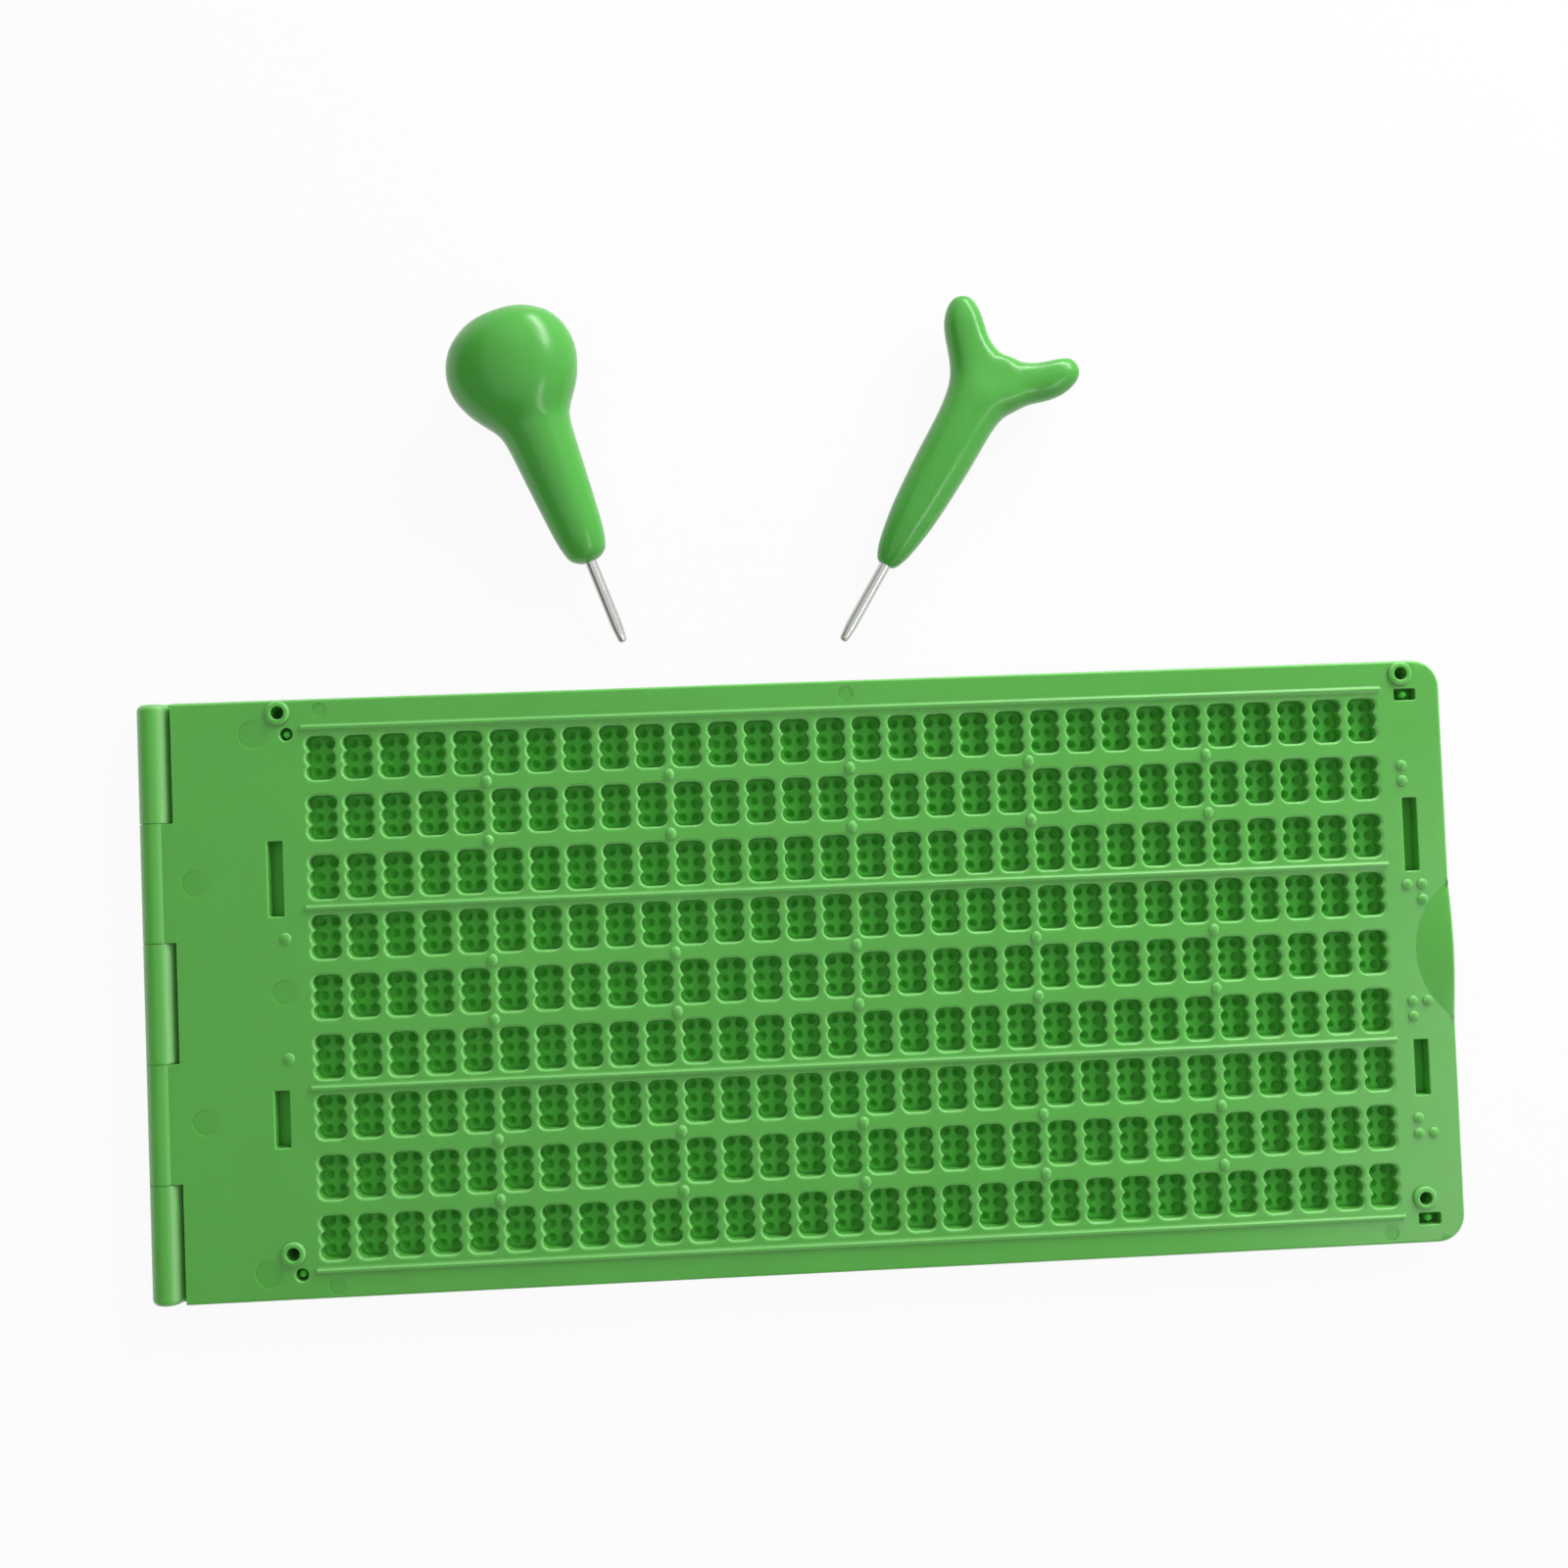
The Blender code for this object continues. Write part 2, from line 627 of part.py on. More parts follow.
def fork_handle():
    """Y shaped handle, skinned over its centre line and smoothed."""
    joints, root = fork_skeleton()
    mesh = bpy.data.meshes.new("fork_stylus_handle")
    edges = [(link, i) for i, (_, _, _, link) in enumerate(joints) if link >= 0]
    mesh.from_pydata([(across, along, 0) for across, along, _, _ in joints], edges, [])
    made = bpy.data.objects.new("fork_stylus_handle", mesh)
    bpy.context.scene.collection.objects.link(made)
    skin = made.modifiers.new("skin", "SKIN")
    skin.use_smooth_shade = True
    for place, (_, _, radius, _) in zip(mesh.skin_vertices[0].data, joints):
        place.radius = (radius * SKIN_SWELL_SHARE, radius * SKIN_SWELL_SHARE)
        place.use_root = False
    mesh.skin_vertices[0].data[root].use_root = True
    smooth = made.modifiers.new("smooth", "SUBSURF")
    smooth.levels = 1
    smooth.render_levels = 1
    bpy.context.view_layer.update()
    made.data = bpy.data.meshes.new_from_object(made.evaluated_get(bpy.context.evaluated_depsgraph_get()))
    made.modifiers.clear()
    return made


def lowest_point(objects):
    return min((item.matrix_world @ vert.co).z for item in objects for vert in item.data.vertices)


def lay_down(name, x, grip_to_slate, heading, tilt, pieces):
    """Parents a stylus to an empty at its grip's end, turns it and lets it rest on the table."""
    frame = bpy.data.objects.new(name, None)
    bpy.context.scene.collection.objects.link(frame)
    frame.location = (x, SLATE_WIDTH / 2 + grip_to_slate, 0)
    frame.rotation_euler = (tilt, 0, heading)
    for piece in pieces:
        piece.parent = frame
    bpy.context.view_layer.update()
    frame.location.z = -lowest_point(pieces)


def knob_stylus():
    handle = object_from("knob_stylus_handle", lambda: merged([knob_rings()]))
    cut_needle_bore(handle)
    steel = needle("knob_stylus_needle")
    head_station = KNOB_NECK_STATION + (KNOB_LENGTH - KNOB_NECK_STATION) * KNOB_BULGE_SHARE
    grip_station = KNOB_NECK_STATION * KNOB_GRIP_FOOT_SHARE
    tilt = math.atan2((KNOB_HEAD_THICKNESS - KNOB_GRIP_WIDTH) / 2, head_station - grip_station)
    lay_down("knob_stylus", KNOB_X, KNOB_GRIP_TO_SLATE, KNOB_HEADING, tilt, (handle, steel))
    return handle, steel


def fork_stylus():
    handle = fork_handle()
    cut_needle_bore(handle)
    steel = needle("fork_stylus_needle")
    tilt = math.atan2((FORK_HEAD_WIDTH - FORK_GRIP_WIDTH) / 2, FORK_ROOT_STATION)
    lay_down("fork_stylus", FORK_X, FORK_GRIP_TO_SLATE, FORK_HEADING, tilt, (handle, steel))
    return handle, steel


def shade(item, finish):
    item.data.materials.clear()
    item.data.materials.append(finish)
    item.data.shade_smooth()
    item.data.set_sharp_from_angle(angle=CREASE_ANGLE)


def move_origin(item, place):
    """Puts the object's origin at a point while its shape stays where it is."""
    offset = Vector(place)
    for vert in item.data.vertices:
        vert.co -= offset
    item.location = offset


def main():
    for item in list(bpy.data.objects):
        bpy.data.objects.remove(item)
    hinge_end = (HINGE_X, 0, HINGE_Z)
    lower = pit_plate()
    upper = window_plate()
    move_origin(upper, hinge_end)
    pin = hinge_pin()
    move_origin(pin, hinge_end)
    knob, knob_needle = knob_stylus()
    fork, fork_needle = fork_stylus()
    shade(lower, material("pit_plate_green", PIT_PLATE_GREEN, PIT_PLATE_ROUGHNESS))
    shade(upper, material("window_plate_green", WINDOW_PLATE_GREEN, WINDOW_PLATE_ROUGHNESS))
    shade(knob, material("knob_handle_green", KNOB_GREEN, HANDLE_ROUGHNESS))
    shade(fork, material("fork_handle_green", FORK_GREEN, HANDLE_ROUGHNESS))
    shade(pin, material("pin_steel", STEEL, STEEL_ROUGHNESS, 1.0))
    shade(knob_needle, material("knob_needle_steel", STEEL, STEEL_ROUGHNESS, 1.0))
    shade(fork_needle, material("fork_needle_steel", STEEL, STEEL_ROUGHNESS, 1.0))


main()
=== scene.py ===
"""Braille writing slate with a knob stylus and a forked stylus, dressed for rendering.

Two hinged plates of moulded plastic hold a sheet of paper. The stylus pushes dots into it through
the scalloped windows of the upper plate, over the round pits of the lower one. All sizes are in
metres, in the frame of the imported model: +X runs from the hinge to the lifting lip, +Y to the
first line of cells and +Z up.
"""

import json
import math
from contextlib import contextmanager

import bmesh
import bpy
from bpy.props import FloatProperty, FloatVectorProperty, PointerProperty
from mathutils import Matrix, Vector


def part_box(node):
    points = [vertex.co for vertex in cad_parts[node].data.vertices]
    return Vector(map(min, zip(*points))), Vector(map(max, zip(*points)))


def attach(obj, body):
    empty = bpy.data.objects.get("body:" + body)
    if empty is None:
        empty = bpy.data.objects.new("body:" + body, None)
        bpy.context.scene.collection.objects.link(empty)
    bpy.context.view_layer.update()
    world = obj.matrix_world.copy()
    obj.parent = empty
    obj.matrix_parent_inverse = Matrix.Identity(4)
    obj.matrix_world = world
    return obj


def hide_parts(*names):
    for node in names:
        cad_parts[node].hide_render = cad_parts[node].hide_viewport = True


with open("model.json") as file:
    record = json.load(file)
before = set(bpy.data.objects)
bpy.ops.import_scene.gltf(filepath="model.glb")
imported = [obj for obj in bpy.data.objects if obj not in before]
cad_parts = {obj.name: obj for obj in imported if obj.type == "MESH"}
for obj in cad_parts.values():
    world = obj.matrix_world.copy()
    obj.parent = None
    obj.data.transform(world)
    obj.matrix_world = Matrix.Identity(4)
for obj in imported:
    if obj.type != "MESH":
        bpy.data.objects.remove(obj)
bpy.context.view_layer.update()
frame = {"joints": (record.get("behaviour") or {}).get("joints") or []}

bl_info = {
    "name": "Braille writing slate",
    "version": (1, 0, 0),
    "blender": (4, 5, 0),
    "location": "View3D > Sidebar > Slate",
    "description": "Models a hinged braille writing slate with its two styluses",
    "category": "Object",
}

# Braille grid
LINE_COUNT = 9
CELL_COUNT = 30
LINE_PITCH = 0.0100
CELL_PITCH = 0.00613
DOT_PITCH = 0.0024
DOT_COLUMNS = (-0.5, 0.5)
DOT_ROWS = (-1, 0, 1)

# Places in the slate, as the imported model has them
HINGE = Vector(next(joint["pos_m"] for joint in frame["joints"] if joint["name"] == "window_leaf_hinge"))
PLATE_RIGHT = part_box("window_plate")[1].x
HALF_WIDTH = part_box("window_plate")[1].y
BARREL_RADIUS = HINGE.z
BARREL_TO_PLATE = 0.0007
PLATE_LEFT = HINGE.x + BARREL_RADIUS + BARREL_TO_PLATE
HINGE_TO_FIRST_CELL = 0.0280
FIRST_CELL_X = HINGE.x + HINGE_TO_FIRST_CELL
LAST_CELL_X = FIRST_CELL_X + (CELL_COUNT - 1) * CELL_PITCH
GRID_LEFT = FIRST_CELL_X - CELL_PITCH / 2
GRID_RIGHT = LAST_CELL_X + CELL_PITCH / 2
GRID_HALF = LINE_COUNT * LINE_PITCH / 2
PIT_FACE = 0.0023
WINDOW_LOW = 0.0026
WINDOW_HIGH = 0.00485

# Windows and pits
SCALLOP_RADIUS = 0.00125
WINDOW_HALF_LENGTH = 0.00366
CUSP_MERGE = 0.0003
PIT_FLOOR_SHARE = 0.25
PIT_FLOOR_EASING_SHARE = 0.6

# Hinge
KNUCKLE_COUNT = 5
KNUCKLE_GAP = 0.00012
KNUCKLE_PITCH = 2 * HALF_WIDTH / KNUCKLE_COUNT
KNUCKLE_EASING = 0.00003
BARREL_SIDES = 48
BARREL_END_ROUNDING = 0.0011
PIN_RADIUS = 0.0010
PIN_EASING = 0.0002
PIN_BORE_RADIUS = 0.0011

# The collar that closes a gap between two knuckles from inside: how far it lies below the barrel's
# face, and the share of the gap that it fills
COLLAR_STEP = 0.0003
COLLAR_SHARE = 0.8

# Bosses and the wells under them
BOSS_TO_CELL = 0.0068
BOSS_ROWS = (0.04775, -0.04225)
BOSSES = [(x, y) for x in (FIRST_CELL_X - BOSS_TO_CELL, LAST_CELL_X + BOSS_TO_CELL) for y in BOSS_ROWS]
BOSS_RADIUS = 0.00205
BOSS_BORE_RADIUS = 0.0011
BOSS_ROUNDING = 0.00055
WELL_FLOOR = 0.0007

# Registration pegs, with their round holes at the left and their slots at the right
LEFT_PEG_TO_CELL = 0.0056
RIGHT_PEG_TO_CELL = 0.0076
PEG_ROWS = (0.04415, -0.04585)
LEFT_PEGS = [(FIRST_CELL_X - LEFT_PEG_TO_CELL, y) for y in PEG_ROWS]
RIGHT_PEGS = [(LAST_CELL_X + RIGHT_PEG_TO_CELL, y) for y in PEG_ROWS]
PEG_RADIUS = 0.00065
PEG_BELOW_FACE = 0.0005
PEG_ROUNDING_SHARE = 0.75
PEG_HOLE_RADIUS = 0.0011
PEG_SLOT_SIZE = (0.0038, 0.0020)
PEG_SLOT_CORNER = 0.0003

# Margin slots: the place along the margin and the length of each
MARGIN_SLOT_LENGTHS = ((0.0200, 0.0126), (-0.0200, 0.0095))
MARGIN_SLOT_WIDTH = 0.0025
MARGIN_SLOT_CORNER = 0.0002
LEFT_SLOT_TO_CELL = 0.0080
RIGHT_SLOT_TO_CELL = 0.0075

# Edges of the margin fittings that are eased: the sharpest turn that stays, and the easing
MARGIN_EDGE_TURN = 1.4
MARGIN_EASING = 0.00018

# Guide ribs
RIB_LINES = (0.0452, 0.0150, -0.0150, -0.0452)
RIB_TO_FIRST_CELL = 0.0033
RIB_TO_LAST_CELL = 0.0034
RIB_END_SHARE = 0.25
RIB_CREST_SHARE = 0.16

# Raised dots
DOT_ROW_LINES = (0, 1, 3, 4, 6, 7)
DOT_CELL_INTERVAL = 5
GUIDE_DOT_HEIGHT = 0.0006
GUIDE_DOT_STRETCH = 1.2
MARGIN_DOT_LINES = (3, 5)
MARGIN_DOT_TO_CELL = 0.00665
MARGIN_DOT_HEIGHT = 0.0004

# Braille line numbers: the line that each stands by, counted from nought, and its columns and rows
LINE_NUMBERS = {
    0.95: ((0, 0), (0, 1)),
    3: ((0, 0), (1, 0), (1, 1)),
    5: ((0, 0), (1, 0), (0, 1)),
    7: ((0, 0), (0, 1), (1, 1)),
}
NUMBER_DOT_PITCH = 0.0026
NUMBER_DOT_HEIGHT = 0.00058
NUMBER_TO_CELL = 0.0064
NUMBER_ABOVE_LINE = 0.0014

# Marks of the ejector pins: the centre and radius of each, and how deep and how far aslant they lie
EJECTOR_MARKS = (
    (-0.09164, 0.04435, 0.0023),
    (-0.10164, 0.01975, 0.0023),
    (-0.10104, -0.01995, 0.0022),
    (-0.08744, 0.00105, 0.0021),
    (-0.09144, -0.04545, 0.0022),
    (-0.08044, 0.04805, 0.0012),
    (-0.08024, -0.04795, 0.0014),
    (0.00817, 0.04765, 0.0013),
    (0.09807, -0.04795, 0.0013),
)
EJECTOR_DEPTH = 0.00014
EJECTOR_TILT = math.radians(2.2)
EJECTOR_CUTTER_HEIGHT = 0.0010

# Stylus places: the middle of the grip's end on the table, and the way the stylus points
KNOB_PLACE = (-0.0342, HALF_WIDTH + 0.0217)
KNOB_HEADING = math.radians(19.8)
KNOB_TILT = math.radians(7.14)
FORK_PLACE = (0.0158, HALF_WIDTH + 0.0193)
FORK_HEADING = math.radians(-31.4)
FORK_TILT = math.radians(2.2)

# Rings of the knob handle's cage: distance from the grip's end, shift across, half width, half depth.
# A program fitted the half widths, and the half depths with them, to widths measured in the
# photograph. They were then rounded to 0.1 mm.
KNOB_RINGS = (
    (0.0000, 0.0000, 0.0013, 0.0013),
    (0.0005, 0.0000, 0.0023, 0.0023),
    (0.0013, 0.0000, 0.0034, 0.0034),
    (0.0026, 0.0000, 0.0038, 0.0038),
    (0.0045, 0.0000, 0.0043, 0.0043),
    (0.0085, 0.0000, 0.0047, 0.0047),
    (0.0130, 0.0000, 0.0051, 0.0051),
    (0.0180, 0.0000, 0.0055, 0.0055),
    (0.0220, 0.0000, 0.0058, 0.0058),
    (0.0236, 0.0000, 0.0061, 0.0059),
    (0.0247, 0.0000, 0.0064, 0.0060),
    (0.0258, 0.0000, 0.0071, 0.0063),
    (0.0272, 0.0000, 0.0082, 0.0069),
    (0.0290, 0.0000, 0.0096, 0.0075),
    (0.0310, 0.0000, 0.0106, 0.0079),
    (0.0333, 0.0000, 0.0114, 0.0081),
    (0.0355, 0.0001, 0.0115, 0.0082),
    (0.0377, 0.0002, 0.0111, 0.0081),
    (0.0396, 0.0003, 0.0102, 0.0076),
    (0.0412, 0.0004, 0.0090, 0.0068),
    (0.0424, 0.0004, 0.0072, 0.0056),
    (0.0433, 0.0004, 0.0056, 0.0044),
    (0.0439, 0.0003, 0.0032, 0.0026),
)
KNOB_SIDES = 16

# Centre line of the fork handle: across, along, radius and the joint that it grows from. A program
# fitted it to the handle's outline in the photograph. The arms' eight rows were then changed, and all
# rows were rounded to 0.1 mm.
FORK_JOINTS = (
    (0.0000, 0.0000, 0.0015, -1),
    (0.0000, 0.0012, 0.0022, 0),
    (0.0000, 0.0030, 0.0030, 1),
    (0.0000, 0.0060, 0.0036, 2),
    (0.0000, 0.0092, 0.0041, 3),
    (0.0000, 0.0108, 0.0043, 4),
    (0.0000, 0.0160, 0.0047, 5),
    (0.0000, 0.0220, 0.0050, 6),
    (0.0000, 0.0280, 0.0050, 7),
    (0.0001, 0.0322, 0.0051, 8),
    (0.0006, 0.0348, 0.0043, 9),
    (-0.0046, 0.0391, 0.0037, 10),
    (-0.0072, 0.0414, 0.0037, 11),
    (-0.0093, 0.0438, 0.0037, 12),
    (-0.0115, 0.0473, 0.0016, 13),
    (0.0053, 0.0390, 0.0036, 10),
    (0.0080, 0.0406, 0.0035, 15),
    (0.0104, 0.0430, 0.0034, 16),
    (0.0123, 0.0469, 0.0019, 17),
)
FORK_ROOT = 10
SKIN_SWELL = 1.14

# Where the fork handle is pressed flatter: how far along it starts, above which height, and to what
# share of what stands above that height
FORK_FLATS = ((0.0, 0.0041, 0.4), (0.0335, 0.0029, 0.35))

# The middle of the saddle between the two arms, and how far round it the saddle is eased
FORK_SADDLE = Vector((0.0004, 0.0402))
FORK_SADDLE_REACH = 0.0022

# Needles
NEEDLE_SHANK = 0.0110
NEEDLE_CLEARANCE = 0.0001
NEEDLE_ROUNDING_SHARE = 0.8
NEEDLE_SIDES = 32

# How near two points count as one, how far a cutter runs past the face that it opens, and how far
# the widest part of a raised form is sunk in the face that it stands on
TOUCH = 1e-5
OVERRUN = 0.0005
SINK = 0.00003

# The direction in which reflections see the sky at its dimmest
SKY_DIM = (-0.60, -0.30, 0.75)

# The height above which the sloping faces of the plates get a painted sheen: a paler green that stands in for
# highlights
PAINTED_SHEEN_ABOVE = 0.0030

# Light spreads a little way through the green plastic
MILKINESS = {"Subsurface_Weight": 0.7, "Subsurface_Radius": (0.3, 1.0, 0.25), "Subsurface_Scale": 0.0015}

# Floor
FLOOR_SIZE = 8
FLOOR_DROP = 0.00005

# Lamps: the two ends of each and its breadth. All face one point by the middle of the slate.
LAMPS = {
    "top_box": ((-0.10, 0.70, 0.60), (-0.10, -0.30, 0.60), 0.60),
    "key_box": ((0.16, 0.68, 0.22), (0.66, 0.30, 0.22), 0.24),
    "tube_far": ((0.411, 0.298, 0.356), (0.129, 0.731, 0.104), 0.10),
    "tube_near": ((0.341, 0.018, 0.392), (0.273, -0.246, 0.368), 0.05),
}
LAMP_TARGET = (0.0, 0.03, 0.0)

# Camera: its place in metres, its turn in degrees, and its sensor in millimetres
CAMERA_PLACE = (-0.01249, 0.02677, 0.25059)
CAMERA_TURN = (1.466, -2.192, -2.213)
CAMERA_SENSOR = 36.0
CAMERA_CLIP = (0.01, 20.0)


def size(name, description, default):
    return FloatProperty(
        name=name, description=description, default=default, min=0.0, unit="LENGTH", precision=5
    )


def colour(name, description, default):
    return FloatVectorProperty(
        name=name, description=description, default=default, size=3, min=0.0, max=1.0, subtype="COLOR"
    )


def share(name, description, default):
    return FloatProperty(
        name=name, description=description, default=default, min=0.0, max=1.0, subtype="FACTOR"
    )


def power(name, description, default):
    return FloatProperty(name=name, description=description, default=default, min=0.0, unit="POWER")


class SlateSizes(bpy.types.PropertyGroup):
    """Sizes of the two plates that a maker would tune"""

    corner: size("Plate corner", "Radius of the two rounded plate corners", 0.00475)
    rim: size("Plate rim", "Radius of the rounded rims of both plates", 0.0006)
    window_rim: size("Window rim", "Rounding of the rim of each window", 0.00052)
    pit_radius: size("Pit radius", "Radius of each pit at the plate's face", 0.00088)
    pit_depth: size("Pit depth", "Depth of each pit", 0.0010)
    boss_height: size("Boss height", "Height of the four bosses above the plate", 0.0007)
    rib_width: size("Rib width", "Width of the four guide ribs", 0.0015)
    rib_height: size("Rib height", "Height of the four guide ribs", 0.0007)
    guide_dot: size("Guide dot", "Radius of the raised dots between the windows", 0.0009)
    margin_dot: size("Margin dot", "Radius of the two raised dots in the margin", 0.0010)
    number_dot: size("Number dot", "Radius of the dots of the braille line numbers", 0.00096)
    lip_radius: size("Lip radius", "Radius of the lifting lip in plan", 0.0141)
    lip_reach: size("Lip reach", "How far the lifting lip reaches in from the edge", 0.0064)
    lip_rise: size("Lip rise", "How high the lifting lip stands at the edge", 0.0010)


class StylusSizes(bpy.types.PropertyGroup):
    """Sizes of the stylus needles"""

    needle_radius: size("Needle radius", "Radius of both needles", 0.0010)
    needle_tip: size("Needle tip", "Radius of the blunt tip of both needles", 0.0007)
    needle_reach: size("Needle reach", "Length of needle outside the handle", 0.0146)
    needle_taper: size("Needle taper", "Length over which a needle narrows to its tip", 0.0030)


class SlateFinishes(bpy.types.PropertyGroup):
    """Colours and gloss of the finishes"""

    window_green: colour("Window plate", "Colour of the upper plate's plastic", (0.087, 0.380, 0.052))
    pit_green: colour("Pit plate", "Colour of the lower plate's plastic", (0.087, 0.380, 0.052))
    # The pit bed's darker, more saturated green is painted shade of the window floors, slots and wells
    bed_painted_shade_green: colour(
        "Pit bed", "Colour of the lower plate's duller face between the pits", (0.054, 0.380, 0.026)
    )
    # Paler green on the raised sloping faces of the plates: painted sheen that stands in for highlights
    painted_sheen_green: colour(
        "Painted sheen", "Paler colour of the edges and raised forms of the plates", (0.185, 0.465, 0.145)
    )
    stylus_green: colour("Stylus handles", "Colour of the glossy handle plastic", (0.062, 0.352, 0.038))
    steel: colour("Steel", "Colour of the needles and the hinge pin", (0.62, 0.63, 0.60))
    plate_roughness: share("Plate roughness", "Roughness of the satin plates", 0.30)
    bed_roughness: share("Pit bed roughness", "Roughness of the lower plate's duller face", 0.70)
    handle_roughness: share("Handle roughness", "Roughness of the glossy handles", 0.24)
    steel_roughness: share("Steel roughness", "Roughness of the drawn steel", 0.22)


class StudioSettings(bpy.types.PropertyGroup):
    """Floor, lamps and camera"""

    floor_white: colour("Floor", "Colour of the floor", (0.65, 0.65, 0.65))
    floor_glow: share("Floor glow", "Share of plain white that the camera sees in the floor", 0.93)
    fill: FloatProperty(
        name="Fill", description="Strength of the soft light all round", default=0.41, min=0.0
    )
    zenith: share("Zenith", "How bright reflections see the sky at its dimmest", 0.22)
    top: power("Top", "Power of the broad box overhead", 1.1)
    key: power("Key", "Power of the low soft box at the upper right", 3.6)
    tube_far: power("Far tube", "Power of the long tube lamp at the upper right", 1.9)
    tube_near: power("Near tube", "Power of the long tube lamp at the right", 0.27)
    lens: FloatProperty(
        name="Lens", description="Focal length of the camera in millimetres", default=33.3, min=1.0
    )


def activate(piece):
    bpy.ops.object.select_all(action="DESELECT")
    piece.select_set(True)
    bpy.context.view_layer.objects.active = piece


def settle(name, scale=(1, 1, 1)):
    """Names the new object, scales it and moves its place into its mesh."""
    piece = bpy.context.active_object
    piece.name = name
    piece.data.name = name
    piece.scale = scale
    bpy.ops.object.transform_apply(location=True, rotation=True, scale=True)
    return piece


def block(name, low, high):
    low, high = Vector(low), Vector(high)
    bpy.ops.object.select_all(action="DESELECT")
    bpy.ops.mesh.primitive_cube_add(size=1, location=(low + high) / 2)
    return settle(name, high - low)


def drum(name, x, y, low, high, radius, sides):
    bpy.ops.object.select_all(action="DESELECT")
    bpy.ops.mesh.primitive_cylinder_add(
        vertices=sides, radius=radius, depth=high - low, location=(x, y, (low + high) / 2)
    )
    return settle(name)


def bar(name, radius, near, far, sides):
    """A round bar on the hinge's axis."""
    bpy.ops.object.select_all(action="DESELECT")
    bpy.ops.mesh.primitive_cylinder_add(
        vertices=sides,
        radius=radius,
        depth=far - near,
        location=(HINGE.x, (near + far) / 2, HINGE.z),
        rotation=(math.pi / 2, 0, 0),
    )
    return settle(name)


def dome(name, x, y, z, radius, reach, height, segments, rings):
    """A flattened ball, whose reach along Y may differ from its radius along X."""
    bpy.ops.object.select_all(action="DESELECT")
    bpy.ops.mesh.primitive_uv_sphere_add(segments=segments, ring_count=rings, radius=1, location=(x, y, z))
    return settle(name, (radius, reach, height))


@contextmanager
def shaping(piece):
    """Edit mode on one piece, for as long as the block lasts."""
    activate(piece)
    bpy.ops.object.mode_set(mode="EDIT")
    yield
    bpy.ops.object.mode_set(mode="OBJECT")


def pick(kind, wanted):
    """Selects only the points, edges or faces of the piece in edit mode that are wanted."""
    bpy.ops.mesh.select_mode(type=kind)
    bpy.ops.mesh.select_all(action="DESELECT")
    mesh = bpy.context.edit_object.data
    shape = bmesh.from_edit_mesh(mesh)
    count = 0
    for item in {"VERT": shape.verts, "EDGE": shape.edges, "FACE": shape.faces}[kind]:
        if wanted(item):
            item.select_set(True)
            count += 1
    bmesh.update_edit_mesh(mesh)
    if not count:
        raise RuntimeError(f"{bpy.context.edit_object.name}: nothing to pick")


def close_to(value, target):
    return abs(value - target) < TOUCH


def at_height(edge, z):
    return all(close_to(vert.co.z, z) for vert in edge.verts)


def middle(edge):
    return (edge.verts[0].co + edge.verts[1].co) / 2


def is_upright(edge):
    first, second = (vert.co for vert in edge.verts)
    return (first.xy - second.xy).length < TOUCH


def combine(piece, tool, operation):
    """Joins the tool on to the piece, or cuts it out, and removes the tool."""
    activate(piece)
    modifier = piece.modifiers.new("combine", "BOOLEAN")
    modifier.operation = operation
    modifier.solver = "EXACT"
    modifier.object = tool
    bpy.ops.object.modifier_apply(modifier=modifier.name)
    bpy.data.objects.remove(tool)


def joined(pieces):
    """Makes one object of several."""
    bpy.ops.object.select_all(action="DESELECT")
    for piece in pieces:
        piece.select_set(True)
    bpy.context.view_layer.objects.active = pieces[0]
    bpy.ops.object.join()
    return pieces[0]


def repeat(piece, count, step):
    modifier = piece.modifiers.new("repeat", "ARRAY")
    modifier.count = count
    modifier.use_relative_offset = False
    modifier.use_constant_offset = True
    modifier.constant_offset_displace = step
    modifier.use_merge_vertices = True
    modifier.merge_threshold = TOUCH
    activate(piece)
    bpy.ops.object.modifier_apply(modifier=modifier.name)


def smooth(piece, angle, flats=False, crease=None):
    """Smooth shading with crisp creases, and level faces that stay flat beside a small rounding."""
    activate(piece)
    bpy.ops.object.shade_smooth_by_angle(angle=math.radians(angle))
    if crease:
        with shaping(piece):
            pick("EDGE", crease)
            bpy.ops.mesh.mark_sharp()
    if flats:
        with shaping(piece):
            pick("FACE", lambda face: abs(face.normal.z) > 0.9999)
            bpy.ops.mesh.mod_weighted_strength(set=True, face_strength="STRONG")
    activate(piece)
    modifier = piece.modifiers.new("weighted", "WEIGHTED_NORMAL")
    modifier.keep_sharp = True
    modifier.use_face_influence = flats
    bpy.ops.object.modifier_apply(modifier=modifier.name)


def dress(piece, body, node, finish):
    """Hands a finished piece over: its material, the body that it rides on and what it replaces."""
    piece.data.materials.clear()
    piece.data.materials.append(finish)
    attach(piece, body)
    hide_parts(node)


def cell_x(cell):
    return FIRST_CELL_X + cell * CELL_PITCH


def line_y(line):
    return ((LINE_COUNT - 1) / 2 - line) * LINE_PITCH


def on_lip_foot(edge, sizes):
    centre = Vector((PLATE_RIGHT - sizes.lip_reach + sizes.lip_radius, 0))
    return at_height(edge, WINDOW_HIGH) and all(
        abs((vert.co.xy - centre).length - sizes.lip_radius) < 0.0001 for vert in edge.verts
    )


